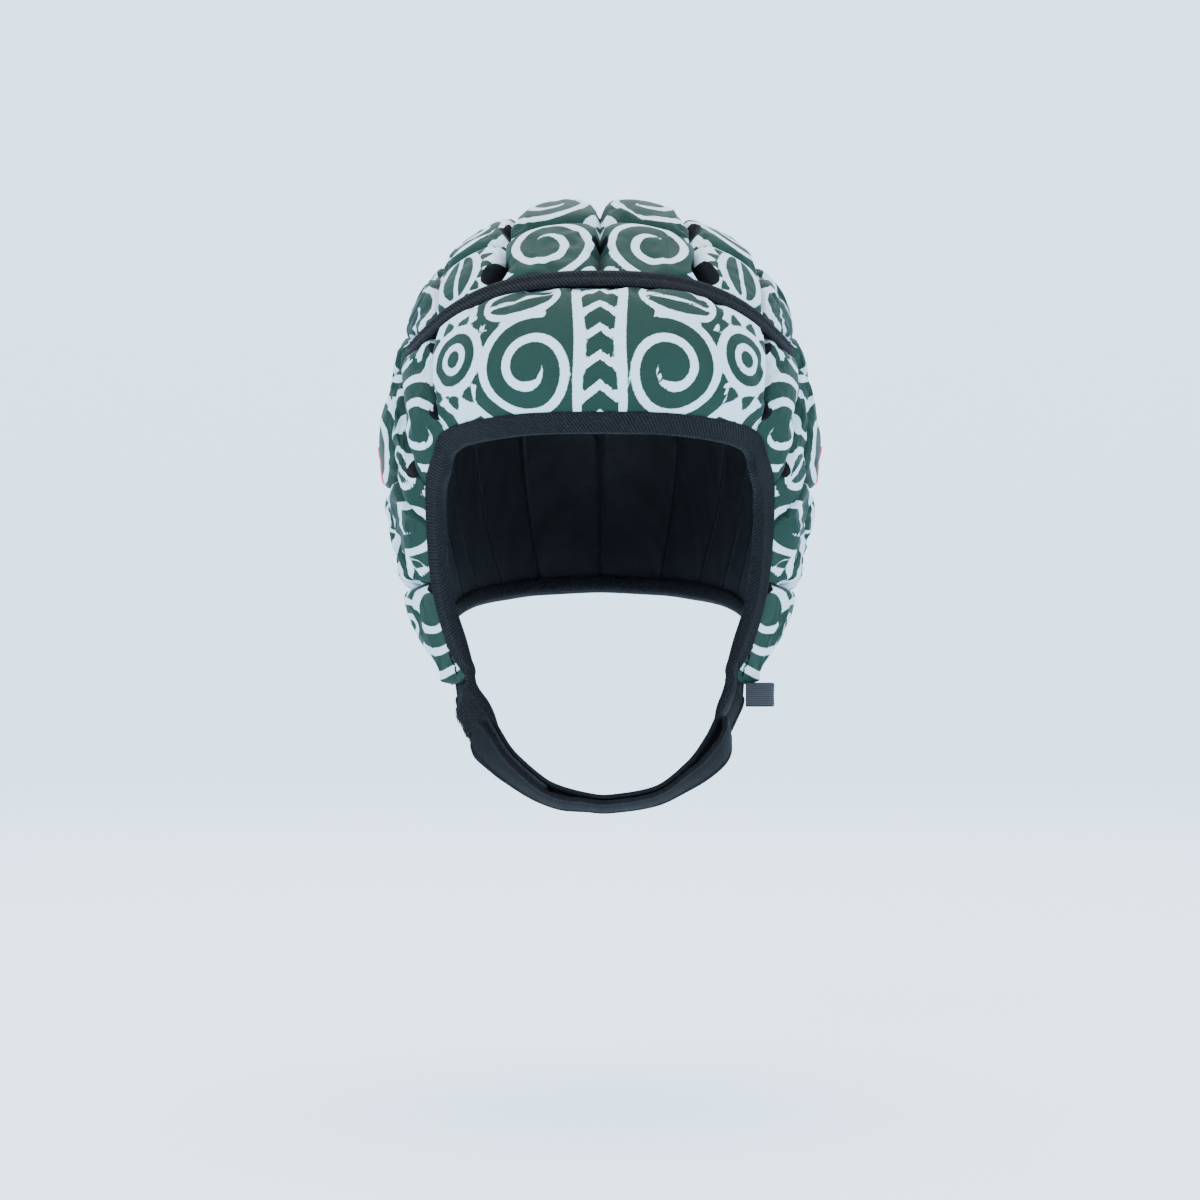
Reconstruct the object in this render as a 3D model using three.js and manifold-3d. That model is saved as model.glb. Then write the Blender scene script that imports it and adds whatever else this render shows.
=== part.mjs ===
// A padded scrum cap, as worn: soft pads on a thin lining, bound at its edges, with a chin strap.
// Millimetres, +Z up, the face opening towards -Y, the wearer's left side at +X.
// The origin is the top of the hollow, where the head bears.

import * as THREE from "three";
import Module from "manifold-3d";

const wasm = await Module();
wasm.setup();

// The hollow for the head
const HEAD_HALF_WIDTH = 80.5;
const HEAD_FRONT = 91;
const HEAD_BACK = 104;
const CROWN_HEIGHT = 100;
const JAW_DROP = 100;
const PLAN_POWER = 2.1;

// The wall: lining, then pads
const LINING_THICKNESS = 1.5;
const CLEARANCE = 0.4;
const PAD_THICKNESS = 11.5;
const PAD_EDGE_THICKNESS = 3;
const SHOULDER_WIDTH = 5.5;
const SHOULDER_RISE = 0.72;
const CROWN_WIDTH = 5;
const GROOVE_WIDTH = 1;

// Bindings and band. The binding's fullness over the rim and the shoulder, and how far its fold
// stands out, are in tape thicknesses.
const BINDING_THICKNESS = 1;
const BINDING_COVER = 6.4;
const BINDING_TURN_IN = 6;
const BINDING_GAP = 0.96;
const BINDING_RIM_INSET = 0.5;
const BINDING_RIM_FULLNESS = 1.2;
const BINDING_SHOULDER_FULLNESS = 1.3;
const BINDING_FOLD = 1.4;
const BAND_HALF_WIDTH = 3.6;
const BAND_KEEL_HALF_WIDTH = 0.4;
const BAND_THICKNESS = 1.6;
const BAND_GAP = 1.6;
const BAND_SIDE_PLACE = 0.6;
const BAND_SIDE_FULLNESS = 0.8;
const BAND_END = 3.8;

// Straps
const STRAP_WIDTH = 20;
const JAW_STRAP_THICKNESS = 1.8;
const LOOP_TAPE_THICKNESS = 1.2;
const CHIN_STRAP_THICKNESS = 2;
const STRAP_BEVEL = 0.4;
const STRAP_STEP = 1 / 32;
const KEEPER_TAPE_THICKNESS = 1.2;
const KEEPER_REACH = 12;
const KEEPER_SHARE = 0.975;
const KEEPER_WIDTH = 10;
const KEEPER_DROP = 7;
const KEEPER_CURVE_STEPS = 5;

// Openings
const VENT_LENGTH = 9;
const VENT_WIDTH = 5;
const EAR_OPENING_HEIGHT = 27;
const EAR_OPENING_WIDTH = 20;
const VENT_SIDES = 10;
const EAR_OPENING_SIDES = 16;
const CUTTER_REACH = 40;

// The thin plates over the ears
const PATCH_THICKNESS = 0.8;
const PATCH_ROWS = [2, 2.3, 2.6];
const PATCH_COLUMNS = [4.52, 4.72, 4.9];

// Fineness: steps of the sheets in a cell of the net, the net step a pad's shoulder starts from
// and the most of a cell that it takes, the steps that slopes and lengths are measured over, and
// the halvings that find a point of the hollow
const STEPS_PER_CELL = 2;
const SHOULDER_STEP = 0.1;
const SHOULDER_LIMIT = 0.4;
const NORMAL_STEP = 0.01;
const DIRECTION_STEP = 0.02;
const LENGTH_STEP = 0.05;
const SEARCH_PASSES = 40;
const CORE = new THREE.Vector3(0, 0, -CROWN_HEIGHT);

// Profile of the hollow, from its top down: height as a share of the crown height, or below the
// core of the jaw drop, and the reach to the side, front and back as shares of the half sizes
const FORM = [
  { up: 1.0, side: 0.0, front: 0.0, back: 0.0 },
  { up: 0.98, side: 0.33, front: 0.29, back: 0.29 },
  { up: 0.865, side: 0.62, front: 0.55, back: 0.56 },
  { up: 0.68, side: 0.83, front: 0.775, back: 0.8 },
  { up: 0.45, side: 0.93, front: 0.945, back: 0.95 },
  { up: 0.22, side: 0.99, front: 1.0, back: 1.0 },
  { up: 0.0, side: 1.0, front: 0.955, back: 0.99 },
  { up: -0.21, side: 0.98, front: 0.8, back: 0.93 },
  { up: -0.43, side: 0.925, front: 0.745, back: 0.82 },
  { up: -0.67, side: 0.85, front: 0.735, back: 0.7 },
  { up: -0.86, side: 0.785, front: 0.725, back: 0.62 },
  { up: -1.1, side: 0.66, front: 0.68, back: 0.54 },
];

// The net of seams. Each row runs from the middle line down one side of the head, and the rows
// follow each other from the face edge to the hem. Each knot is a direction seen from the core:
// azimuth from the front and elevation, in degrees.
const NET = [
  {
    row: "face_edge",
    azimuth: [0, 22, 42, 48, 54, 58.5, 61, 53],
    elevation: [7.5, 7, 4, -2.5, -10, -22, -38, -53],
  },
  {
    row: "brow_seam",
    azimuth: [0, 31, 51, 60, 68, 69, 67, 56.5],
    elevation: [42.5, 40, 33.5, 30, 26, -4, -34, -54],
  },
  {
    row: "front_seam",
    azimuth: [0, 42, 66, 76, 82, 81, 74, 60],
    elevation: [65, 58, 47, 34, 20, -7, -34, -54.8],
  },
  {
    row: "top_seam",
    azimuth: [180, 90, 92, 94, 96, 96, 84, 64],
    elevation: [88, 72, 54, 37, 19, -7, -34.5, -55.3],
  },
  {
    row: "rear_seam",
    azimuth: [180, 148, 126, 118, 114, 110, 93, 68],
    elevation: [55, 50, 42, 29, 14, -10, -37, -55.6],
  },
  {
    row: "back_seam",
    azimuth: [180, 159, 143, 133, 126, 117, 99, 72],
    elevation: [14, 13, 9, 2, -6, -22, -42, -55.8],
  },
  {
    row: "hem",
    azimuth: [180, 161, 147, 136, 126, 115, 101, 76],
    elevation: [-32, -33, -35, -37, -39.5, -42.5, -46, -55.5],
  },
];
const LAST_ROW = NET.length - 1;
const LAST_COLUMN = NET[0].azimuth.length - 1;

// Pads as rectangles of the net, on one side of the head
const PADS = [
  { name: "temple_pad", rows: [0, 1], columns: [2, 4] },
  { name: "crown_pad_1", rows: [1, 2], columns: [0, 1] },
  { name: "crown_pad_2", rows: [2, 3], columns: [0, 1] },
  { name: "crown_pad_3", rows: [3, 4], columns: [0, 1] },
  { name: "crown_pad_4", rows: [4, 5], columns: [0, 1] },
  { name: "crown_pad_5", rows: [5, 6], columns: [0, 1] },
  { name: "upper_pad_1", rows: [1, 2], columns: [1, 2] },
  { name: "upper_pad_2", rows: [2, 3], columns: [1, 2] },
  { name: "upper_pad_3", rows: [3, 4.5], columns: [1, 2] },
  { name: "upper_pad_4", rows: [4.5, 6], columns: [1, 2] },
  { name: "side_pad_1", rows: [1, 2.5], columns: [2, 3] },
  { name: "side_pad_2", rows: [2.5, 4], columns: [2, 3] },
  { name: "side_pad_3", rows: [4, 6], columns: [2, 3] },
  { name: "lower_pad_1", rows: [1, 3], columns: [3, 4] },
  { name: "lower_pad_2", rows: [3, 4.5], columns: [3, 4] },
  { name: "lower_pad_3", rows: [4.5, 6], columns: [3, 4] },
  { name: "over_ear_pad_1", rows: [0, 1], columns: [4, 5] },
  { name: "over_ear_pad_2", rows: [1, 3], columns: [4, 5] },
  { name: "over_ear_pad_3", rows: [3, 4.5], columns: [4, 5] },
  { name: "over_ear_pad_4", rows: [4.5, 6], columns: [4, 5] },
  { name: "cheek_pad", rows: [0, 2], columns: [5, 6] },
  { name: "ear_pad", rows: [2, 4], columns: [5, 6] },
  { name: "behind_ear_pad", rows: [4, 6], columns: [5, 6] },
  { name: "flap_pad", rows: [0, 6], columns: [6, 7] },
];
const BROW_PAD = { name: "brow_pad", rows: [0, 1], columns: [-2, 2] };

// Vents through the pads at the seams, longer down the column, as shares of the vent's size
const VENTS = [
  { row: 1.6, column: 0, length: 1, width: 1.5 },
  { row: 2.6, column: 0, length: 1.3, width: 1.4 },
  { row: 3.5, column: 0, length: 1.5, width: 1.4 },
  { row: 4.5, column: 0, length: 1.5, width: 1.4 },
  { row: 1.35, column: 1, length: 1.9, width: 1.8 },
  { row: 2.35, column: 1, length: 1.5, width: 1.6 },
  { row: 3.5, column: 1, length: 1.5, width: 1.4 },
  { row: 5, column: 1, length: 1.5, width: 1.4 },
  { row: 0.3, column: 2, length: 1, width: 1 },
  { row: 0.82, column: 2, length: 1, width: 1 },
  { row: 3, column: 2, length: 1.4, width: 1.2 },
  { row: 3.9, column: 3, length: 1.4, width: 1.2 },
  { row: 0.24, column: 4, length: 1, width: 1 },
  { row: 0.6, column: 6, length: 0.9, width: 0.9 },
];

// Inner middle line of the chin strap, from the wearer's right flap round under the chin to the
// left, as shares of the half width, the front reach and the jaw drop, and the turn of its outer
// face towards the front, in degrees
const STRAP_ROUTE = [
  { across: -0.693, forward: 0.341, drop: 0.93, turn: 24 },
  { across: -0.681, forward: 0.379, drop: 0.985, turn: 30 },
  { across: -0.62, forward: 0.467, drop: 1.064, turn: 38 },
  { across: -0.535, forward: 0.571, drop: 1.16, turn: 36 },
  { across: -0.43, forward: 0.637, drop: 1.244, turn: 26 },
  { across: -0.252, forward: 0.692, drop: 1.337, turn: 17 },
  { across: -0.05, forward: 0.72, drop: 1.38, turn: 15 },
  { across: 0.075, forward: 0.72, drop: 1.383, turn: 15 },
  { across: 0.286, forward: 0.687, drop: 1.352, turn: 16 },
  { across: 0.45, forward: 0.626, drop: 1.268, turn: 21 },
  { across: 0.556, forward: 0.566, drop: 1.178, turn: 26 },
  { across: 0.634, forward: 0.467, drop: 1.075, turn: 28 },
  { across: 0.686, forward: 0.379, drop: 0.985, turn: 26 },
  { across: 0.694, forward: 0.341, drop: 0.93, turn: 22 },
];

// The straps' ends along that line. The outer strap lies over the jaw strap, and over the loop
// tape where there is one, with some slack in millimetres.
const LOOP_TAPE_REACH = { from: 1 / 32, to: 12 / 32 };
const OUTER_STRAP = [
  { share: 5 / 32, overTape: true, slack: 1.6 },
  { share: 7 / 32, overTape: true, slack: 0 },
  { share: 13 / 32, overTape: true, slack: 0 },
  { share: 15 / 32, overTape: false, slack: 0 },
  { share: 22 / 32, overTape: false, slack: 0.2 },
  { share: 26 / 32, overTape: false, slack: 3 },
  { share: 27 / 32, overTape: false, slack: 2.6 },
  { share: 28 / 32, overTape: false, slack: 0 },
];

const clamp = THREE.MathUtils.clamp;
const radians = THREE.MathUtils.degToRad;

// Smooth curve through four values, at share f between the second and the third
function blendFour(a, b, c, d, f) {
  return b + 0.5 * f * (c - a + f * (2 * a - 5 * b + 4 * c - d + f * (3 * (b - c) + d - a)));
}

// Profile of the hollow at place t along the rows of FORM
function profileAt(t) {
  const last = FORM.length - 1;
  const i = clamp(Math.floor(t), 0, last - 1);
  const mirrored = { up: FORM[1].up, side: -FORM[1].side, front: -FORM[1].front, back: -FORM[1].back };
  const rows = [i > 0 ? FORM[i - 1] : mirrored, FORM[i], FORM[i + 1], FORM[Math.min(i + 2, last)]];
  const value = (key) => blendFour(...rows.map((row) => row[key]), t - i);
  const up = value("up");
  return {
    height: up * (up > 0 ? CROWN_HEIGHT : JAW_DROP),
    side: value("side") * HEAD_HALF_WIDTH,
    front: value("front") * HEAD_FRONT,
    back: value("back") * HEAD_BACK,
  };
}

// Reach of the hollow's plan outline: a rounded oval between the side and the front or back
function planReach(profile, across, along) {
  if (profile.side <= 0) return 0;
  const lengthwise = along > 0 ? profile.back : profile.front;
  const sideways = Math.abs(across / profile.side) ** PLAN_POWER;
  return (sideways + Math.abs(along / lengthwise) ** PLAN_POWER) ** (-1 / PLAN_POWER);
}

// Point of the hollow's surface in a direction seen from the core
function headPoint(direction) {
  const flat = Math.hypot(direction.x, direction.y);
  const across = flat > 1e-9 ? direction.x / flat : 0;
  const along = flat > 1e-9 ? direction.y / flat : 1;
  let low = 0;
  let high = FORM.length - 1;
  for (let pass = 0; pass < SEARCH_PASSES; pass++) {
    const middle = (low + high) / 2;
    const profile = profileAt(middle);
    const above = profile.height * flat > planReach(profile, across, along) * direction.z;
    if (above) low = middle;
    else high = middle;
  }
  const profile = profileAt(low);
  const reach = planReach(profile, across, along);
  return new THREE.Vector3(reach * across, reach * along, profile.height).add(CORE);
}

// One knot of the net as a direction, with the other side mirrored and one knot more past each edge
function netKnot(row, column) {
  if (column < 0) {
    const mirrored = netKnot(row, -column);
    return mirrored.setX(-mirrored.x);
  }
  const beyond = (edge, inside) => edge.multiplyScalar(2).sub(inside);
  if (row < 0) return beyond(netKnot(0, column), netKnot(1, column));
  if (row > LAST_ROW) return beyond(netKnot(LAST_ROW, column), netKnot(LAST_ROW - 1, column));
  if (column > LAST_COLUMN) {
    return beyond(netKnot(row, LAST_COLUMN), netKnot(row, LAST_COLUMN - 1));
  }
  const azimuth = radians(NET[row].azimuth[column]);
  const elevation = radians(NET[row].elevation[column]);
  const flat = Math.cos(elevation);
  return new THREE.Vector3(flat * Math.sin(azimuth), -flat * Math.cos(azimuth), Math.sin(elevation));
}

const knots = new Map();
function cachedKnot(row, column) {
  const key = `${row},${column}`;
  if (!knots.has(key)) knots.set(key, netKnot(row, column));
  return knots.get(key);
}

// Point of the hollow's surface at a place of the net
function netPoint(row, column) {
  const i = clamp(Math.floor(row), 0, LAST_ROW - 1);
  const j = clamp(Math.floor(column), -LAST_COLUMN, LAST_COLUMN - 1);
  const direction = new THREE.Vector3();
  for (const axis of ["x", "y", "z"]) {
    const across = [-1, 0, 1, 2].map((di) => {
      const along = [-1, 0, 1, 2].map((dj) => cachedKnot(i + di, j + dj)[axis]);
      return blendFour(...along, column - j);
    });
    direction[axis] = blendFour(...across, row - i);
  }
  return headPoint(direction.normalize());
}

// Point at a height above the hollow's surface, along its normal
function surfacePoint(row, column, height) {
  const step = NORMAL_STEP;
  const alongRow = netPoint(row, column + step).sub(netPoint(row, column - step));
  const alongColumn = netPoint(row + step, column).sub(netPoint(row - step, column));
  const normal = alongRow.cross(alongColumn).normalize();
  return netPoint(row, column).addScaledVector(normal, height);
}

function surfaceNormal(row, column) {
  return surfacePoint(row, column, 1).sub(netPoint(row, column)).normalize();
}

// Point on the flat facet that the lining has there, between two of its steps down a column
function facetPoint(row, column) {
  const before = Math.floor(row * STEPS_PER_CELL) / STEPS_PER_CELL;
  const share = (row - before) * STEPS_PER_CELL;
  return netPoint(before, column).lerp(netPoint(before + 1 / STEPS_PER_CELL, column), share);
}

// Real length of one net cell at a place, along the column or along the row
function cellLength(row, column, along) {
  const step = LENGTH_STEP;
  const [dr, dc] = along === "column" ? [step, 0] : [0, step];
  return netPoint(row + dr, column + dc).distanceTo(netPoint(row - dr, column - dc)) / (2 * step);
}

// A closed body under construction: points, and triangles that name them
class Body {
  positions = [];
  triangles = [];

  add(point) {
    this.positions.push(point.x, point.y, point.z);
    return this.positions.length / 3 - 1;
  }

  quad(a, b, c, d) {
    this.triangles.push(a, b, c, a, c, d);
  }

  // Joins two edge lines of different counts. Each entry is { at, index }, in order of at.
  strip(first, second, flip) {
    let a = 0;
    let b = 0;
    while (a < first.length - 1 || b < second.length - 1) {
      const firstLeft = a < first.length - 1;
      const secondLeft = b < second.length - 1;
      const stepFirst = !secondLeft || (firstLeft && first[a + 1].at <= second[b + 1].at);
      const next = stepFirst ? first[a + 1].index : second[b + 1].index;
      const corners = [first[a].index, second[b].index, next];
      this.triangles.push(...(flip ? corners.reverse() : corners));
      if (stepFirst) a++;
      else b++;
    }
  }

  geometry() {
    const geometry = new THREE.BufferGeometry();
    geometry.setAttribute("position", new THREE.Float32BufferAttribute(this.positions, 3));
    geometry.setIndex(this.triangles);
    return facingOut(geometry);
  }
}

// Turns a closed geometry's triangles so that they face out
function facingOut(geometry) {
  const position = geometry.getAttribute("position");
  const index = geometry.getIndex();
  const corner = [0, 1, 2].map(() => new THREE.Vector3());
  let volume = 0;
  for (let k = 0; k < index.count; k += 3) {
    corner.forEach((point, n) => point.fromBufferAttribute(position, index.getX(k + n)));
    volume += corner[0].dot(corner[1].cross(corner[2]));
  }
  if (volume < 0) {
    const turned = Array.from(index.array);
    for (let k = 0; k < turned.length; k += 3) [turned[k], turned[k + 2]] = [turned[k + 2], turned[k]];
    geometry.setIndex(turned);
  }
  geometry.computeVertexNormals();
  return geometry;
}

// Solid between an outer and an inner sheet. Each sheet is { rows, columns, point(i, j) }, and
// both span the same rectangle of the net.
function slab(outer, inner) {
  const body = new Body();
  const grids = [outer, inner].map((sheet) =>
    sheet.rows.map((_, i) => sheet.columns.map((__, j) => body.add(sheet.point(i, j)))),
  );
  const columnOf = (side, j) => [outer, inner][side].columns[j];
  grids.forEach((grid, side) => {
    for (let i = 0; i < grid.length - 1; i++) {
      for (let j = 0; j < grid[0].length - 1; j++) {
        const ring = [grid[i][j], grid[i][j + 1], grid[i + 1][j + 1], grid[i + 1][j]];
        if (columnOf(side, j) < 0) ring.push(ring.shift());
        if (side === 0) body.quad(...ring);
        else body.quad(ring[0], ring[3], ring[2], ring[1]);
      }
    }
  });
  const [outerGrid, innerGrid] = grids;
  const rowLine = (sheet, grid, i) => sheet.columns.map((at, j) => ({ at, index: grid.at(i)[j] }));
  const columnLine = (sheet, grid, j) => sheet.rows.map((at, i) => ({ at, index: grid[i].at(j) }));
  for (const [end, flip] of [[0, false], [-1, true]]) {
    body.strip(rowLine(outer, outerGrid, end), rowLine(inner, innerGrid, end), flip);
    body.strip(columnLine(outer, outerGrid, end), columnLine(inner, innerGrid, end), !flip);
  }
  return body.geometry();
}

// Places from one line of the net to another, at the steps that the lining uses
function evenPlaces([from, to]) {
  const first = Math.ceil(from * STEPS_PER_CELL + 0.01);
  const last = Math.floor(to * STEPS_PER_CELL - 0.01);
  const between = Array.from({ length: last - first + 1 }, (_, k) => (first + k) / STEPS_PER_CELL);
  return [from, ...between, to];
}

// Share of a pad's full thickness at a distance in from its edge
function rise(distance) {
  if (distance < SHOULDER_WIDTH) return (SHOULDER_RISE * Math.max(distance, 0)) / SHOULDER_WIDTH;
  return Math.min(SHOULDER_RISE + ((1 - SHOULDER_RISE) * (distance - SHOULDER_WIDTH)) / CROWN_WIDTH, 1);
}

// A pad: crowned outer face with rounded shoulders, on an inner face that follows the lining
function padGeometry({ rows, columns }) {
  const insideRows = evenPlaces(rows);
  const insideColumns = evenPlaces(columns);
  const withShoulders = (places) => [
    places[0],
    places[0] + SHOULDER_STEP,
    ...places.slice(1, -1),
    places.at(-1) - SHOULDER_STEP,
    places.at(-1),
  ];
  const outsideRows = withShoulders(insideRows);
  const outsideColumns = withShoulders(insideColumns);
  const inset = GROOVE_WIDTH / 2;

  // Moves the end places in by half a groove, and the shoulder places to the shoulder's width
  const placed = (places, k, length, hasShoulders) => {
    if (k === 0) return places[0] + inset / length;
    if (k === places.length - 1) return places.at(-1) - inset / length;
    const shoulder = Math.min(SHOULDER_WIDTH / length, SHOULDER_LIMIT);
    if (hasShoulders && k === 1) return places[0] + shoulder;
    if (hasShoulders && k === places.length - 2) return places.at(-1) - shoulder;
    return places[k];
  };
  const place = (rowPlaces, columnPlaces, i, j, hasShoulders) => [
    placed(rowPlaces, i, cellLength(rowPlaces[i], columnPlaces[j], "column"), hasShoulders),
    placed(columnPlaces, j, cellLength(rowPlaces[i], columnPlaces[j], "row"), hasShoulders),
  ];
  const base = LINING_THICKNESS + CLEARANCE;
  const outer = {
    rows: outsideRows,
    columns: outsideColumns,
    point: (i, j) => {
      const [row, column] = place(outsideRows, outsideColumns, i, j, true);
      const rowShare = Math.min(row - rows[0], rows[1] - row);
      const columnShare = Math.min(column - columns[0], columns[1] - column);
      const rowRise = rise(rowShare * cellLength(row, column, "column") - inset);
      const columnRise = rise(columnShare * cellLength(row, column, "row") - inset);
      const swell = (PAD_THICKNESS - PAD_EDGE_THICKNESS) * rowRise * columnRise;
      return surfacePoint(row, column, base + PAD_EDGE_THICKNESS + swell);
    },
  };
  const inner = {
    rows: insideRows,
    columns: insideColumns,
    point: (i, j) => surfacePoint(...place(insideRows, insideColumns, i, j, false), base),
  };
  return slab(outer, inner);
}

// A sheet at one height over a rectangle of the net
function evenSheet(rows, columns, height) {
  return { rows, columns, point: (i, j) => surfacePoint(rows[i], columns[j], height) };
}

// The lining: an even sheet over the whole net
function liningGeometry() {
  const rows = evenPlaces([0, LAST_ROW]);
  const columns = evenPlaces([-LAST_COLUMN, LAST_COLUMN]);
  return slab(evenSheet(rows, columns, LINING_THICKNESS), evenSheet(rows, columns, 0));
}

// Solid with one section along a run of stations. at(k, point, n) places the section's point n at
// station k.
function sweep(stations, section, at) {
  const body = new Body();
  const rings = stations.map((_, k) => section.map((point, n) => body.add(at(k, point, n))));
  for (let k = 0; k < rings.length - 1; k++) {
    for (let n = 0; n < section.length; n++) {
      const next = (n + 1) % section.length;
      const ring = [rings[k][n], rings[k + 1][n], rings[k + 1][next], rings[k][next]];
      const goesBack = section[n][0] > section[next][0];
      if (stations[k] < 0 !== goesBack) ring.push(ring.shift());
      body.quad(...ring);
    }
  }
  const contour = section.map(([x, y]) => new THREE.Vector2(x, y));
  const faces = THREE.ShapeUtils.triangulateShape(contour, []);
  for (const [a, b, c] of faces) {
    body.triangles.push(rings[0][a], rings[0][b], rings[0][c]);
    body.triangles.push(rings.at(-1)[c], rings.at(-1)[b], rings.at(-1)[a]);
  }
  return body.geometry();
}

// Height of a pad's outer face at a distance in from its edge
function padTop(distance) {
  const edgeTop = LINING_THICKNESS + CLEARANCE + PAD_EDGE_THICKNESS;
  return edgeTop + (PAD_THICKNESS - PAD_EDGE_THICKNESS) * rise(distance - GROOVE_WIDTH / 2);
}

// Section of a tape folded round the wall's edge: distance in from the edge, and height, which
// for the leg over the pads is counted from their outer face
function bindingSection() {
  const t = BINDING_THICKNESS;
  const gap = BINDING_GAP;
  const nose = -CLEARANCE;
  const fold = nose - BINDING_FOLD * t;
  const rim = padTop(0) + CLEARANCE;
  return [
    { distance: BINDING_COVER, height: gap + t, overPad: true },
    { distance: SHOULDER_WIDTH, height: gap + BINDING_SHOULDER_FULLNESS * t, overPad: true },
    { distance: BINDING_RIM_INSET, height: gap + BINDING_RIM_FULLNESS * t, overPad: true },
    { distance: fold, height: rim - t },
    { distance: fold, height: -gap },
    { distance: nose, height: -gap - t },
    { distance: BINDING_TURN_IN, height: -gap - t },
    { distance: BINDING_TURN_IN, height: -gap },
    { distance: nose, height: -gap },
    { distance: nose, height: rim },
    { distance: SHOULDER_WIDTH, height: gap, overPad: true },
    { distance: BINDING_COVER, height: gap, overPad: true },
  ];
}

// A binding along the first or the last row of the net
function bindingGeometry(row) {
  const inward = row === 0 ? 1 : -1;
  const columns = evenPlaces([-LAST_COLUMN, LAST_COLUMN]);
  const section = bindingSection();
  const outline = section.map(({ distance, height, overPad }) => [
    distance,
    overPad ? height + padTop(distance) : height,
  ]);
  return sweep(columns, outline, (k, [distance, height], n) => {
    const column = columns[k];
    const place = row + (inward * distance) / cellLength(row, column, "column");
    const real = Math.abs(place - row) * cellLength(place, column, "column");
    const onTop = section[n].overPad ? padTop(real) + section[n].height : height;
    if (height > 0) return surfacePoint(place, column, onTop);
    return facetPoint(place, column).addScaledVector(surfaceNormal(place, column), height);
  });
}

// The arched band that lies in the seam over the brow
function bandGeometry() {
  const columns = evenPlaces([-BAND_END, BAND_END]);
  const valley = LINING_THICKNESS + 2 * CLEARANCE + PAD_EDGE_THICKNESS;
  const swell = PAD_THICKNESS - PAD_EDGE_THICKNESS;
  const slope = (swell * SHOULDER_RISE) / (SHOULDER_WIDTH - GROOVE_WIDTH / 2);
  const edge = valley + BAND_HALF_WIDTH * slope + BAND_GAP;
  const side = BAND_HALF_WIDTH * BAND_SIDE_PLACE;
  const section = [
    [-BAND_HALF_WIDTH, edge],
    [-BAND_KEEL_HALF_WIDTH, valley + CLEARANCE],
    [BAND_KEEL_HALF_WIDTH, valley + CLEARANCE],
    [BAND_HALF_WIDTH, edge],
    [side, edge + BAND_THICKNESS * BAND_SIDE_FULLNESS],
    [0, edge + BAND_THICKNESS],
    [-side, edge + BAND_THICKNESS * BAND_SIDE_FULLNESS],
  ];
  return sweep(columns, section, (k, [distance, height]) => {
    const shift = distance / cellLength(1, columns[k], "column");
    return surfacePoint(1 + shift, columns[k], height);
  });
}

// A thin plate on top of a pad
function plateGeometry(rows, columns) {
  const base = LINING_THICKNESS + 2 * CLEARANCE + PAD_THICKNESS;
  return slab(evenSheet(rows, columns, base + PATCH_THICKNESS), evenSheet(rows, columns, base));
}

const strapCurve = new THREE.CatmullRomCurve3(
  STRAP_ROUTE.map(({ across, forward, drop }) =>
    new THREE.Vector3(across * HEAD_HALF_WIDTH, -forward * HEAD_FRONT, -drop * JAW_DROP).add(CORE),
  ),
  false,
  "centripetal",
);

// Value from a table at a share of the route, between its two nearest entries
function readTable(shares, values, share) {
  const after = clamp(shares.findIndex((entry) => entry > share), 1, shares.length - 1);
  const place = (share - shares[after - 1]) / (shares[after] - shares[after - 1]);
  return THREE.MathUtils.lerp(values[after - 1], values[after], clamp(place, 0, 1));
}

// A strap's section at a share of the route: its middle, and the directions across and out
function strapFrame(share) {
  const middle = strapCurve.getPointAt(share);
  const tangent = strapCurve.getTangentAt(share);
  const back = new THREE.Vector3(0, 1, 0).addScaledVector(tangent, -tangent.y).normalize();
  const knotShares = STRAP_ROUTE.map((_, k) => k / (STRAP_ROUTE.length - 1));
  const turns = STRAP_ROUTE.map((knot) => radians(knot.turn));
  const turn = readTable(knotShares, turns, strapCurve.getUtoTmapping(share));
  const side = back.applyAxisAngle(tangent, -turn);
  return { middle, out: side.clone().cross(tangent).normalize(), side };
}

// A strap along part of the route. lift(share) is its underside's height over the route.
function strapGeometry({ from, to, width, thickness, lift }) {
  const steps = Math.round((to - from) / STRAP_STEP);
  const stations = Array.from({ length: steps + 1 }, (_, k) => from + k * STRAP_STEP);
  const half = width / 2;
  const bevel = STRAP_BEVEL;
  const section = [
    [-half + bevel, 0],
    [half - bevel, 0],
    [half, bevel],
    [half, thickness - bevel],
    [half - bevel, thickness],
    [-half + bevel, thickness],
    [-half, thickness - bevel],
    [-half, bevel],
  ];
  return sweep(stations, section, (k, [across, height]) => {
    const { middle, out, side } = strapFrame(stations[k]);
    return middle.addScaledVector(side, across).addScaledVector(out, lift(stations[k]) + height);
  });
}

// A short loop of tape that sticks out sideways
function keeperGeometry() {
  const shape = new THREE.Shape();
  const r = KEEPER_DROP / 2;
  shape.moveTo(0, r);
  shape.lineTo(KEEPER_REACH - r, r);
  shape.absarc(KEEPER_REACH - r, 0, r, Math.PI / 2, -Math.PI / 2, true);
  shape.lineTo(0, -r);
  shape.lineTo(0, -r + KEEPER_TAPE_THICKNESS);
  shape.lineTo(KEEPER_REACH - r, -r + KEEPER_TAPE_THICKNESS);
  shape.absarc(KEEPER_REACH - r, 0, r - KEEPER_TAPE_THICKNESS, -Math.PI / 2, Math.PI / 2, false);
  shape.lineTo(0, r - KEEPER_TAPE_THICKNESS);
  shape.closePath();
  const depth = KEEPER_WIDTH;
  const curveSegments = KEEPER_CURVE_STEPS;
  const geometry = new THREE.ExtrudeGeometry(shape, { depth, curveSegments, bevelEnabled: false });
  return geometry.translate(0, 0, -depth / 2);
}

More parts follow.
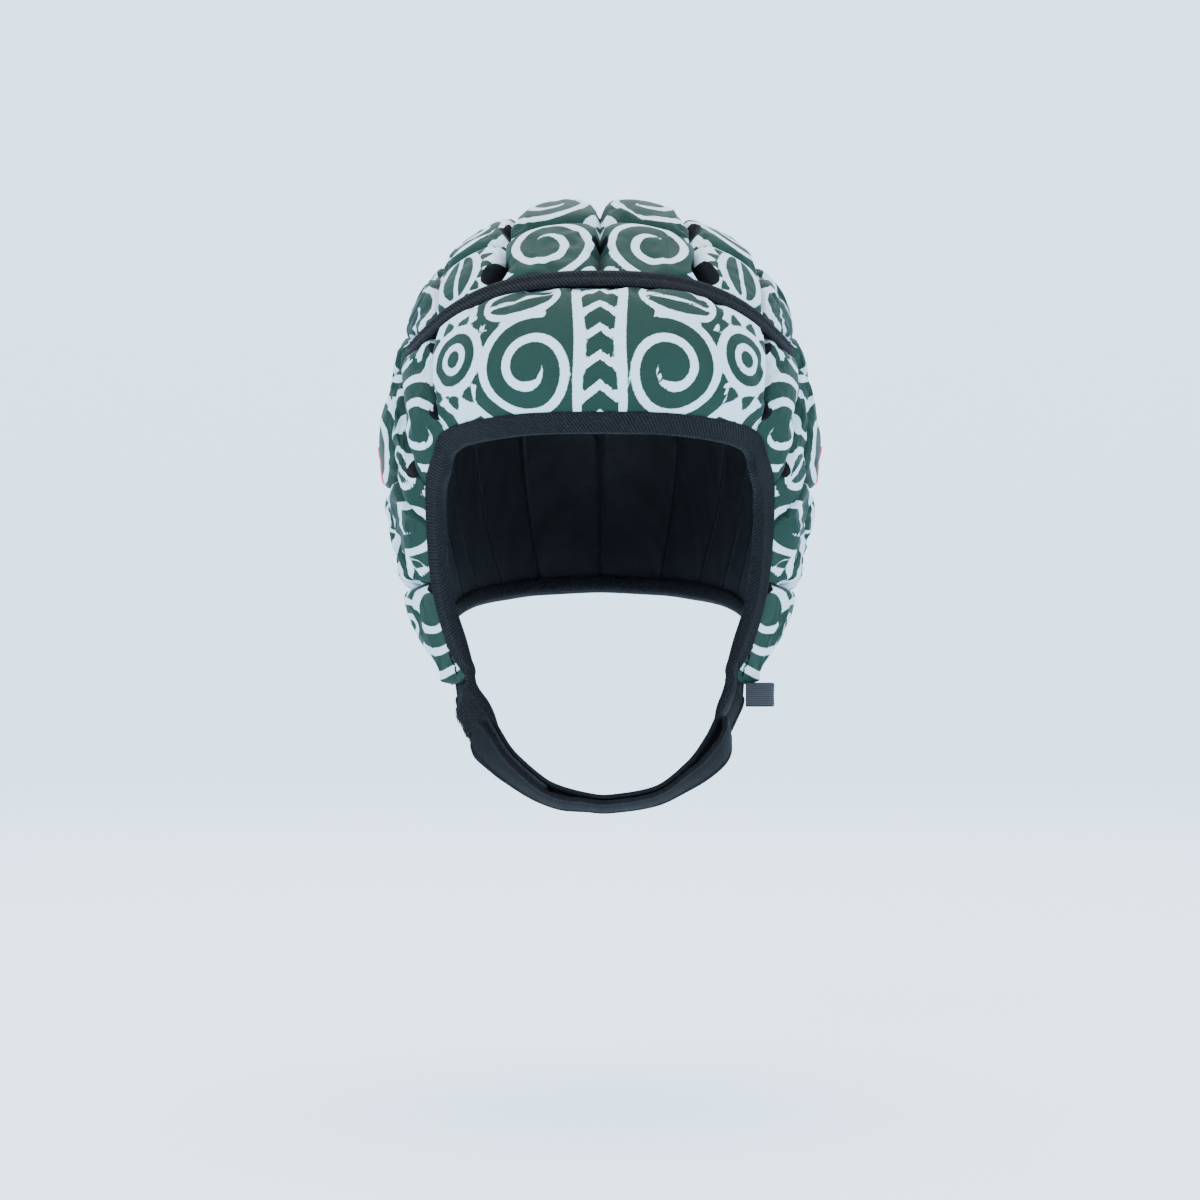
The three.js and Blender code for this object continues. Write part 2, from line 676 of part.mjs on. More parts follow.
// A three.js geometry as a solid that can be cut, and back
function toSolid(geometry) {
  const position = geometry.getAttribute("position");
  const lookup = new Map();
  const places = [];
  const merged = Array.from({ length: position.count }, (_, k) => {
    const point = [position.getX(k), position.getY(k), position.getZ(k)];
    const key = point.map((x) => Math.round(x * 1000)).join();
    if (!lookup.has(key)) {
      lookup.set(key, places.length / 3);
      places.push(...point);
    }
    return lookup.get(key);
  });
  const index = geometry.getIndex() ? Array.from(geometry.getIndex().array) : merged.map((_, k) => k);
  const triVerts = new Uint32Array(index.map((k) => merged[k]));
  const vertProperties = new Float32Array(places);
  return new wasm.Manifold(new wasm.Mesh({ numProp: 3, vertProperties, triVerts }));
}

function toGeometry(solid) {
  const { vertProperties, triVerts } = solid.getMesh();
  const geometry = new THREE.BufferGeometry();
  geometry.setAttribute("position", new THREE.Float32BufferAttribute(vertProperties, 3));
  geometry.setIndex(Array.from(triVerts));
  geometry.computeVertexNormals();
  return geometry;
}

// An oval cutter through the wall at a place of the net
function ovalCutter({ row, column, along, length, width }, sides) {
  const normal = surfaceNormal(row, column);
  const step = DIRECTION_STEP;
  const [dr, dc] = along === "row" ? [0, step] : [step, 0];
  const lengthwise = netPoint(row + dr, column + dc).sub(netPoint(row - dr, column - dc));
  lengthwise.addScaledVector(normal, -lengthwise.dot(normal)).normalize();
  const crosswise = normal.clone().cross(lengthwise);
  const oval = new THREE.CylinderGeometry(1, 1, CUTTER_REACH, sides);
  oval.scale(width / 2, 1, length / 2);
  oval.applyMatrix4(new THREE.Matrix4().makeBasis(crosswise, normal, lengthwise));
  const centre = netPoint(row, column);
  return toSolid(oval.translate(centre.x, centre.y, centre.z));
}

function cut(geometry, cutters) {
  if (cutters.length === 0) return geometry;
  return toGeometry(cutters.reduce((solid, cutter) => solid.subtract(cutter), toSolid(geometry)));
}

// Whether a vent at a place touches a pad's rectangle
function touches({ rows, columns }, { row, column }) {
  const near = 0.02;
  const inRows = row > rows[0] - near && row < rows[1] + near;
  return inRows && column > columns[0] - near && column < columns[1] + near;
}

const materials = {
  print: { color: 0x2f6757, roughness: 0.72 },
  lining: { color: 0x14161a, roughness: 0.6 },
  binding: { color: 0x1d1f24, roughness: 0.8 },
  strap: { color: 0x1b1d20, roughness: 0.7 },
  loop: { color: 0x101114, roughness: 0.95 },
  keeper: { color: 0x4a4f57, roughness: 0.6 },
  patch: { color: 0xe85a70, roughness: 0.6 },
};
const cap = new THREE.Group();

function addPiece(name, geometry, look) {
  const material = new THREE.MeshStandardMaterial({ ...materials[look], metalness: 0 });
  const mesh = new THREE.Mesh(geometry, material);
  mesh.name = name;
  cap.add(mesh);
  return mesh;
}

const mirrorColumns = (columns) => columns.map((column) => -column).reverse();
const vents = VENTS.map(({ row, column, length, width }) => ({
  row,
  column,
  length: length * VENT_LENGTH,
  width: width * VENT_WIDTH,
}));
const mirrored = (place) => ({ ...place, column: -place.column });
const allVents = [...vents, ...vents.filter(({ column }) => column > 0).map(mirrored)];
const ventCutters = allVents.map((vent) => ({ vent, solid: ovalCutter(vent, VENT_SIDES) }));
const ear = {
  row: 3,
  column: 5.5,
  along: "row",
  length: EAR_OPENING_HEIGHT,
  width: EAR_OPENING_WIDTH,
};
const earCutters = [ear, mirrored(ear)].map((place) => ovalCutter(place, EAR_OPENING_SIDES));

function addPad(pad) {
  const cutters = ventCutters.filter(({ vent }) => touches(pad, vent)).map(({ solid }) => solid);
  if (pad.name.startsWith("ear_pad")) cutters.push(...earCutters);
  addPiece(pad.name, cut(padGeometry(pad), cutters), "print");
}

addPad(BROW_PAD);
for (const pad of PADS) {
  addPad({ ...pad, name: `${pad.name}_left` });
  addPad({ ...pad, name: `${pad.name}_right`, columns: mirrorColumns(pad.columns) });
}
addPiece("lining", cut(liningGeometry(), earCutters), "lining");
addPiece("face_binding", bindingGeometry(0), "binding");
addPiece("hem_binding", bindingGeometry(LAST_ROW), "binding");
addPiece("brow_band", bandGeometry(), "binding");

addPiece("side_patch_left", plateGeometry(PATCH_ROWS, PATCH_COLUMNS), "patch");
addPiece("side_patch_right", plateGeometry(PATCH_ROWS, mirrorColumns(PATCH_COLUMNS)), "patch");

const tapeLift = JAW_STRAP_THICKNESS + CLEARANCE;
const liftShares = OUTER_STRAP.map((entry) => entry.share);
const lifts = OUTER_STRAP.map(
  ({ overTape, slack }) => tapeLift + (overTape ? LOOP_TAPE_THICKNESS + CLEARANCE : 0) + slack,
);
const jawStrap = {
  from: 0,
  to: 1,
  width: STRAP_WIDTH,
  thickness: JAW_STRAP_THICKNESS,
  lift: () => 0,
};
const loopTape = {
  ...LOOP_TAPE_REACH,
  width: STRAP_WIDTH,
  thickness: LOOP_TAPE_THICKNESS,
  lift: () => tapeLift,
};
const chinStrap = {
  from: liftShares[0],
  to: liftShares.at(-1),
  width: STRAP_WIDTH,
  thickness: CHIN_STRAP_THICKNESS,
  lift: (share) => readTable(liftShares, lifts, share),
};
addPiece("jaw_strap", strapGeometry(jawStrap), "strap");
addPiece("loop_tape", strapGeometry(loopTape), "loop");
addPiece("chin_strap", strapGeometry(chinStrap), "strap");

const keeper = addPiece("strap_keeper", keeperGeometry(), "keeper");
const keeperFrame = strapFrame(KEEPER_SHARE);
const keeperStandOff = JAW_STRAP_THICKNESS + KEEPER_DROP / 2 + CLEARANCE;
keeper.position.copy(keeperFrame.middle).add(new THREE.Vector3(keeperStandOff, 0, 0));

export default cap;
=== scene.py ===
"""Looks of the padded scrum cap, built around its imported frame.

The soft pieces are modelled again, finely, on the same hollow and the same net of seams as the
frame's solids, so each one fits its node. Shapes are worked out in millimetres, and go into
Blender in metres.
"""

import math

import bmesh
import bpy
import numpy as np
from mathutils import Matrix, Vector


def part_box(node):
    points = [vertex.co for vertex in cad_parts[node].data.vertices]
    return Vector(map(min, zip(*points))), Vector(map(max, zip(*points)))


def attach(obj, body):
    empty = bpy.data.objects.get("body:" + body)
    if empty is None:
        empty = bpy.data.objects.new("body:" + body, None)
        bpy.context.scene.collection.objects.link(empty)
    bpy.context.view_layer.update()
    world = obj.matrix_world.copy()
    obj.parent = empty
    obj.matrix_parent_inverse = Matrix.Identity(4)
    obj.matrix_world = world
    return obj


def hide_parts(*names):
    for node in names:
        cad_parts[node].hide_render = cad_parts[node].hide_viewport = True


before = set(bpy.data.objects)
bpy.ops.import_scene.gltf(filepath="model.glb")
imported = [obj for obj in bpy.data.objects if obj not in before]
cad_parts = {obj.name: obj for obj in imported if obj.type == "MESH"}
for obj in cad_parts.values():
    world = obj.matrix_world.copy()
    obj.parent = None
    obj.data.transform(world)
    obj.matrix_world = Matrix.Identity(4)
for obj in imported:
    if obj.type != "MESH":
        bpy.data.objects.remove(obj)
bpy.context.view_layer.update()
MM = 0.001

# The hollow for the head
HEAD_HALF_WIDTH = 80.5
HEAD_FRONT = 91
HEAD_BACK = 104
CROWN_HEIGHT = 100
JAW_DROP = 100
PLAN_POWER = 2.1

# The wall
LINING_THICKNESS = 1.5
PAD_BASE = 1.9
GROOVE_FLOOR = 5.2
SHOULDER_RADIUS = 6.5
SHOULDER_HEIGHT = 6.2
CROWN_SWELL = 1.3
CROWN_REACH = 22.0
EDGE_HEIGHT = 3.4
EDGE_REACH = 22.0
STEPS_PER_CELL = 16

# The inflation of the outer fabric, as cloth held in its grooves
PRESSURE = 4.0
INFLATE_FRAMES = 20
FABRIC_EXCESS = 0.05
MOST_INFLATION = 2.2

# Tapes and straps
BINDING_COVER = 6.4
BAND_HALF_WIDTH = 3.6
BAND_SINK = 4.0
TAPE_END_RUN = 0.5
BINDING_END_NARROWING = 0.6
BINDING_END_THINNING = 0.5  # share of its thickness that it loses there too
BINDING_MIDDLE = 2.2  # height that it thins towards, mm
STRAP_WIDTH = 20.0
JAW_STRAP_THICKNESS = 1.8
LOOP_TAPE_THICKNESS = 1.2
CHIN_STRAP_THICKNESS = 2.0
STRAP_GAP = 0.4
STRAP_TUCK = 7.0

# Profile of the hollow from its top down: height as a share of the crown height, or below the core
# of the jaw drop, then the reach to the side, front and back as shares of the half sizes
FORM = np.array([
    # up, side, front, back
    (1.0, 0.0, 0.0, 0.0),
    (0.98, 0.33, 0.29, 0.29),
    (0.865, 0.62, 0.55, 0.56),
    (0.68, 0.83, 0.775, 0.8),
    (0.45, 0.93, 0.945, 0.95),
    (0.22, 0.99, 1.0, 1.0),
    (0.0, 1.0, 0.955, 0.99),
    (-0.21, 0.98, 0.8, 0.93),
    (-0.43, 0.925, 0.745, 0.82),
    (-0.67, 0.85, 0.735, 0.7),
    (-0.86, 0.785, 0.725, 0.62),
    (-1.1, 0.66, 0.68, 0.54),
])

# The net of seams: azimuth from the front and elevation, in degrees, seen from the core. Rows run
# from the middle line down one side, and follow each other from the face edge to the hem.
NET = np.array([
    [(0, 7.5), (22, 7), (42, 4), (48, -2.5), (54, -10), (58.5, -22), (61, -38), (53, -53)],
    [(0, 42.5), (31, 40), (51, 33.5), (60, 30), (68, 26), (69, -4), (67, -34), (56.5, -54)],
    [(0, 65), (42, 58), (66, 47), (76, 34), (82, 20), (81, -7), (74, -34), (60, -54.8)],
    [(180, 88), (90, 72), (92, 54), (94, 37), (96, 19), (96, -7), (84, -34.5), (64, -55.3)],
    [(180, 55), (148, 50), (126, 42), (118, 29), (114, 14), (110, -10), (93, -37), (68, -55.6)],
    [(180, 14), (159, 13), (143, 9), (133, 2), (126, -6), (117, -22), (99, -42), (72, -55.8)],
    [(180, -32), (161, -33), (147, -35), (136, -37), (126, -39.5), (115, -42.5), (101, -46), (76, -55.5)],
], dtype=float)
LAST_ROW = NET.shape[0] - 1
LAST_COLUMN = NET.shape[1] - 1

# Pads as rectangles of the net on one side of the head: first and last row, first and last column
PADS = {
    "temple_pad": (0, 1, 2, 4),
    "crown_pad_1": (1, 2, 0, 1),
    "crown_pad_2": (2, 3, 0, 1),
    "crown_pad_3": (3, 4, 0, 1),
    "crown_pad_4": (4, 5, 0, 1),
    "crown_pad_5": (5, 6, 0, 1),
    "upper_pad_1": (1, 2, 1, 2),
    "upper_pad_2": (2, 3, 1, 2),
    "upper_pad_3": (3, 4.5, 1, 2),
    "upper_pad_4": (4.5, 6, 1, 2),
    "side_pad_1": (1, 2.5, 2, 3),
    "side_pad_2": (2.5, 4, 2, 3),
    "side_pad_3": (4, 6, 2, 3),
    "lower_pad_1": (1, 3, 3, 4),
    "lower_pad_2": (3, 4.5, 3, 4),
    "lower_pad_3": (4.5, 6, 3, 4),
    "over_ear_pad_1": (0, 1, 4, 5),
    "over_ear_pad_2": (1, 3, 4, 5),
    "over_ear_pad_3": (3, 4.5, 4, 5),
    "over_ear_pad_4": (4.5, 6, 4, 5),
    "cheek_pad": (0, 2, 5, 6),
    "ear_pad": (2, 4, 5, 6),
    "behind_ear_pad": (4, 6, 5, 6),
    "flap_pad": (0, 6, 6, 7),
}
BROW_PAD = (0, 1, -2, 2)

# Vents through the pads: row, column, length down the column, width, and how much narrower the end
# further from the face is
VENTS = [
    (1.6, 0, 7.5, 6.5, 0),
    (2.6, 0, 12, 7, 0),
    (3.5, 0, 13.5, 7, 0),
    (4.5, 0, 13.5, 7, 0),
    (1.32, 1, 17, 11, 0.55),
    (2.35, 1, 13.5, 8, 0),
    (3.5, 1, 13.5, 7, 0),
    (5, 1, 13.5, 7, 0),
    (0.3, 2, 9, 5, 0),
    (0.82, 2, 9, 5, 0),
    (3, 2, 12.6, 6, 0),
    (3.9, 3, 12.6, 6, 0),
    (0.24, 4, 9, 5, 0),
    (0.6, 6, 8, 4.5, 0),
]
EAR = (3, 5.5, 20, 27, 0)

# Inner middle line of the chin strap, from the wearer's right flap to the left: across, forward
# and drop as shares of the half width, the front reach and the jaw drop, and the turn to the front
STRAP_ROUTE = np.array([
    (-0.693, 0.341, 0.93, 24),
    (-0.681, 0.379, 0.985, 30),
    (-0.62, 0.467, 1.064, 38),
    (-0.535, 0.571, 1.16, 36),
    (-0.43, 0.637, 1.244, 26),
    (-0.252, 0.692, 1.337, 17),
    (-0.05, 0.72, 1.38, 15),
    (0.075, 0.72, 1.383, 15),
    (0.286, 0.687, 1.352, 16),
    (0.45, 0.626, 1.268, 21),
    (0.556, 0.566, 1.178, 26),
    (0.634, 0.467, 1.075, 28),
    (0.686, 0.379, 0.985, 26),
    (0.694, 0.341, 0.93, 22),
])


def blend_four(a, b, c, d, f):
    """Smooth curve through four values, at share f between the second and the third."""
    return b + 0.5 * f * (c - a + f * (2 * a - 5 * b + 4 * c - d + f * (3 * (b - c) + d - a)))


def profile_at(place):
    """Height and reach to the side, front and back, at places along the rows of FORM."""
    last = len(FORM) - 1
    low = np.clip(np.floor(place).astype(int), 0, last - 1)
    mirrored = FORM[1] * (1, -1, -1, -1)
    rows = np.vstack([mirrored, FORM, FORM[last]])
    share = (place - low)[..., None]
    value = blend_four(rows[low], rows[low + 1], rows[low + 2], rows[low + 3], share)
    height = value[..., 0] * np.where(value[..., 0] > 0, CROWN_HEIGHT, JAW_DROP)
    return height, value[..., 1] * HEAD_HALF_WIDTH, value[..., 2] * HEAD_FRONT, value[..., 3] * HEAD_BACK


def plan_reach(side, front, back, across, along):
    """Reach of the hollow's rounded plan outline in a direction."""
    lengthwise = np.where(along > 0, back, front)
    side = np.maximum(side, 1e-6)
    lengthwise = np.maximum(lengthwise, 1e-6)
    total = np.abs(across / side) ** PLAN_POWER + np.abs(along / lengthwise) ** PLAN_POWER
    return total ** (-1 / PLAN_POWER)


def head_points(direction):
    """Points of the hollow's surface in directions seen from the core."""
    flat = np.hypot(direction[..., 0], direction[..., 1])
    safe = np.maximum(flat, 1e-9)
    across = direction[..., 0] / safe
    along = np.where(flat > 1e-9, direction[..., 1] / safe, 1.0)
    low = np.zeros(flat.shape)
    high = np.full(flat.shape, len(FORM) - 1.0)
    for _ in range(34):
        middle = (low + high) / 2
        height, side, front, back = profile_at(middle)
        above = height * flat > plan_reach(side, front, back, across, along) * direction[..., 2]
        low = np.where(above, middle, low)
        high = np.where(above, high, middle)
    height, side, front, back = profile_at(low)
    reach = plan_reach(side, front, back, across, along)
    return np.stack([reach * across, reach * along, height - CROWN_HEIGHT], axis=-1)


def net_knots():
    """The net's knots as directions, both sides of the head, with one knot more past each edge."""
    azimuth, elevation = np.radians(NET[..., 0]), np.radians(NET[..., 1])
    flat = np.cos(elevation)
    left = np.stack([flat * np.sin(azimuth), -flat * np.cos(azimuth), np.sin(elevation)], axis=-1)
    right = left[:, :0:-1] * (-1, 1, 1)
    knots = np.concatenate([right, left], axis=1)
    knots = np.concatenate([2 * knots[:, :1] - knots[:, 1:2], knots, 2 * knots[:, -1:] - knots[:, -2:-1]], axis=1)
    return np.concatenate([2 * knots[:1] - knots[1:2], knots, 2 * knots[-1:] - knots[-2:-1]], axis=0)


KNOTS = net_knots()


def net_points(row, column):
    """Points of the hollow's surface at places of the net."""
    row, column = np.broadcast_arrays(np.asarray(row, float), np.asarray(column, float))
    i = np.clip(np.floor(row).astype(int), 0, LAST_ROW - 1)
    j = np.clip(np.floor(column).astype(int), -LAST_COLUMN, LAST_COLUMN - 1)
    column_share = (column - j)[..., None]
    lines = []
    for di in range(4):
        near = [KNOTS[i + di, j + dj + LAST_COLUMN] for dj in range(4)]
        lines.append(blend_four(*near, column_share))
    direction = blend_four(*lines, (row - i)[..., None])
    direction /= np.linalg.norm(direction, axis=-1, keepdims=True)
    return head_points(direction)


def surface_normals(row, column):
    """Outward normals of the hollow's surface at places of the net."""
    step = 0.01
    row, column = np.asarray(row, float), np.asarray(column, float)
    along_row = net_points(row, column + step) - net_points(row, column - step)
    along_column = net_points(row + step, column) - net_points(row - step, column)
    normal = np.cross(along_row, along_column)
    return normal / np.linalg.norm(normal, axis=-1, keepdims=True)


def surface_points(row, column, height):
    """Points at heights above the hollow's surface, along its normal."""
    return net_points(row, column) + surface_normals(row, column) * np.asarray(height, float)[..., None]


def cell_length(row, column, along):
    """Real length of one net cell at places, along the column or along the row."""
    step = 0.05
    row, column = np.asarray(row, float), np.asarray(column, float)
    dr, dc = (step, 0) if along == "column" else (0, step)
    span = net_points(row + dr, column + dc) - net_points(row - dr, column - dc)
    return np.linalg.norm(span, axis=-1) / (2 * step)


def length_map(row, column):
    """Lengths along the seams from the middle line and from the brow seam, over a grid of places."""
    along = cell_length(row, column, "row")
    down = cell_length(row, column, "column")
    widths = (along[:, 1:] + along[:, :-1]) / 2 * np.diff(column, axis=1)
    heights = (down[1:] + down[:-1]) / 2 * np.diff(row, axis=0)
    across = np.concatenate([np.zeros((row.shape[0], 1)), np.cumsum(widths, axis=1)], axis=1)
    across -= across[:, row.shape[1] // 2][:, None]
    below = np.concatenate([np.zeros((1, row.shape[1])), np.cumsum(heights, axis=0)], axis=0)
    return across, below


def new_object(name, points, faces, material, places=None, smooth=True):
    """A mesh object from points in millimetres. places are two numbers at each point, kept as a map
    that cuts carry along."""
    mesh = bpy.data.meshes.new(name)
    mesh.from_pydata((np.asarray(points) * MM).tolist(), [], [tuple(int(v) for v in f) for f in faces])
    mesh.materials.append(material)
    if places is not None:
        corners = np.zeros(len(mesh.loops), np.int32)
        mesh.loops.foreach_get("vertex_index", corners)
        layer = mesh.uv_layers.new(name="place")
        layer.data.foreach_set("uv", np.asarray(places, np.float32)[corners].ravel())
    mesh.update()
    made = bpy.data.objects.new(name, mesh)
    bpy.context.scene.collection.objects.link(made)
    orient = bmesh.new()
    orient.from_mesh(mesh)
    bmesh.ops.recalc_face_normals(orient, faces=orient.faces)
    orient.to_mesh(mesh)
    orient.free()
    if smooth:
        mesh.polygons.foreach_set("use_smooth", [True] * len(mesh.polygons))
    return made


def grid_faces(rows, columns, start=0):
    """Quads of a grid of points that is rows by columns."""
    index = np.arange(rows * columns).reshape(rows, columns) + start
    quads = np.stack([index[:-1, :-1], index[:-1, 1:], index[1:, 1:], index[1:, :-1]], axis=-1)
    return quads.reshape(-1, 4)


def rim_faces(rows, columns, lower_start):
    """Quads that join the rims of two equal grids, the first of which starts at point 0."""
    index = np.arange(rows * columns).reshape(rows, columns)
    rim = np.concatenate([index[0, :], index[1:, -1], index[-1, -2::-1], index[-2:0:-1, 0]])
    following = np.roll(rim, -1)
    return np.stack([rim, following, following + lower_start, rim + lower_start], axis=-1)


def shade_by_angle(made, degrees):
    """Smooth shading that keeps edges sharper than the angle."""
    with bpy.context.temp_override(object=made, selected_editable_objects=[made], active_object=made):
        bpy.ops.object.shade_smooth_by_angle(angle=math.radians(degrees))


def plain_noise(points, scale, seed):
    """Soft noise from a few seeded waves, between about -1 and 1, at points in millimetres."""
    rng = np.random.default_rng(seed)
    total = np.zeros(points.shape[:-1])
    for _ in range(7):
        wave = rng.normal(size=3)
        wave *= 2 * math.pi / scale / np.linalg.norm(wave) * rng.uniform(0.6, 1.5)
        total += np.sin(points @ wave + rng.uniform(0, 2 * math.pi))
    return total / 3.5


def pad_heights(rectangle, row, column):
    """Height of a pad's outer face: shoulders rounded to the grooves, and a low crown."""
    top, bottom, left, right = rectangle
    here = net_points(row, column)

    def reach_to(far_row, far_column):
        return np.linalg.norm(here - net_points(far_row, far_column), axis=-1)

    to_rows = np.minimum(reach_to(np.full_like(row, top), column), reach_to(np.full_like(row, bottom), column))
    to_columns = np.minimum(reach_to(row, np.full_like(row, left)), reach_to(row, np.full_like(row, right)))
    a = np.clip(1 - to_rows / SHOULDER_RADIUS, 0, 1)
    b = np.clip(1 - to_columns / SHOULDER_RADIUS, 0, 1)
    inside = np.clip(1 - np.hypot(a, b), 0, 1)
    shoulder = np.sqrt(1 - (1 - inside) ** 2)
    swell = np.clip(to_rows / CROWN_REACH, 0, 1) * np.clip(to_columns / CROWN_REACH, 0, 1)
    return GROOVE_FLOOR + SHOULDER_HEIGHT * shoulder + CROWN_SWELL * swell**0.7


def edge_limit(distance):
    """Most height of the fabric at a distance in from the wall's bound edges."""
    share = np.clip(np.asarray(distance, float) / EDGE_REACH, 0, 1)
    most = GROOVE_FLOOR + SHOULDER_HEIGHT + CROWN_SWELL
    return EDGE_HEIGHT + (most - EDGE_HEIGHT) * share * share * (3 - 2 * share)


def all_pads():
    """Every pad by its node's name, as a rectangle of the net."""
    pads = {"brow_pad": BROW_PAD}
    for name, (top, bottom, left, right) in PADS.items():
        pads[name + "_left"] = (top, bottom, left, right)
        pads[name + "_right"] = (top, bottom, -right, -left)
    return pads


def grid_slice(rectangle):
    """A pad's part of the shell's grid."""
    top, bottom, left, right = [int(round(value * STEPS_PER_CELL)) for value in rectangle]
    middle = LAST_COLUMN * STEPS_PER_CELL
    return slice(top, bottom + 1), slice(left + middle, right + middle + 1)


def shell_grid():
    """Rows and columns of the fine grid over the whole net."""
    rows = np.linspace(0, LAST_ROW, LAST_ROW * STEPS_PER_CELL + 1)
    columns = np.linspace(-LAST_COLUMN, LAST_COLUMN, 2 * LAST_COLUMN * STEPS_PER_CELL + 1)
    return np.meshgrid(rows, columns, indexing="ij")


def inflated(shell, held):
    """The shell as cloth under pressure, held where the mask says, with its moves capped."""
    sheet = new_object("shell", shell.reshape(-1, 3), grid_faces(*shell.shape[:2]), FABRIC)
    group = sheet.vertex_groups.new(name="held")
    group.add(np.flatnonzero(held.ravel()).tolist(), 1.0, "REPLACE")
    cloth = sheet.modifiers.new("cloth", "CLOTH")
    cloth.settings.quality = 4
    cloth.settings.mass = 0.02
    cloth.settings.tension_stiffness = 8
    cloth.settings.compression_stiffness = 8
    cloth.settings.shear_stiffness = 2
    cloth.settings.bending_stiffness = 0.02
    cloth.settings.use_pressure = True
    cloth.settings.uniform_pressure_force = PRESSURE
    cloth.settings.vertex_group_mass = "held"
    cloth.settings.pin_stiffness = 1
    cloth.settings.shrink_min = -FABRIC_EXCESS
    cloth.settings.effector_weights.gravity = 0
    cloth.collision_settings.use_collision = False
    scene = bpy.context.scene
    first = scene.frame_current
    for number in range(1, INFLATE_FRAMES + 1):
        scene.frame_set(number)
    evaluated = sheet.evaluated_get(bpy.context.evaluated_depsgraph_get())
    moved = np.zeros(len(evaluated.data.vertices) * 3, np.float32)
    evaluated.data.vertices.foreach_get("co", moved)
    scene.frame_set(first)
    bpy.data.objects.remove(sheet)
    move = moved.reshape(shell.shape) / MM - shell
    size = np.linalg.norm(move, axis=-1, keepdims=True)
    capped = MOST_INFLATION * np.tanh(size / MOST_INFLATION) / np.maximum(size, 1e-6)
    return shell + move * capped


def finer(grid, axis):
    """The grid with a smooth midpoint between every two of its points along an axis."""
    grid = np.moveaxis(grid, axis, 0)
    ends = np.concatenate([2 * grid[:1] - grid[1:2], grid, 2 * grid[-1:] - grid[-2:-1]])
    between = (9 * (ends[1:-2] + ends[2:-1]) - ends[:-3] - ends[3:]) / 16
    fine = np.empty((2 * len(grid) - 1, *grid.shape[1:]))
    fine[0::2] = grid
    fine[1::2] = between
    return np.moveaxis(fine, 0, axis)


def sample(grid, places):
    """Values of a grid over the whole net at places of the net, by straight interpolation."""
    row = np.clip(places[:, 0], 0, LAST_ROW) * STEPS_PER_CELL
    column = (np.clip(places[:, 1], -LAST_COLUMN, LAST_COLUMN) + LAST_COLUMN) * STEPS_PER_CELL
    i = np.clip(row.astype(int), 0, grid.shape[0] - 2)
    j = np.clip(column.astype(int), 0, grid.shape[1] - 2)
    u, v = (row - i)[:, None], (column - j)[:, None]
    first = grid[i, j] * (1 - v) + grid[i, j + 1] * v
    second = grid[i + 1, j] * (1 - v) + grid[i + 1, j + 1] * v
    return first * (1 - u) + second * u


def corner_places(mesh, wanted):
    """The place of each point of a mesh, read at the corners of faces of the wanted material."""
    corners = np.zeros(len(mesh.loops), np.int32)
    mesh.loops.foreach_get("vertex_index", corners)
    uv = np.zeros(len(mesh.loops) * 2, np.float32)
    mesh.uv_layers["place"].data.foreach_get("uv", uv)
    sizes = np.zeros(len(mesh.polygons), np.int32)
    mesh.polygons.foreach_get("loop_total", sizes)
    kinds = np.zeros(len(mesh.polygons), np.int32)
    mesh.polygons.foreach_get("material_index", kinds)
    usable = np.repeat(kinds, sizes) == wanted
    places = np.zeros((len(mesh.vertices), 2))
    places[corners[usable]] = uv.reshape(-1, 2)[usable]
    return places


def keep_attribute(mesh, name, values):
    """Keeps a number or a vector at each point of a mesh, for its material to read."""
    kind = "FLOAT" if values.ndim == 1 else "FLOAT_VECTOR"
    field = "value" if values.ndim == 1 else "vector"
    attribute = mesh.attributes.new(name, kind, "POINT")
    attribute.data.foreach_set(field, np.asarray(values, np.float32).ravel())


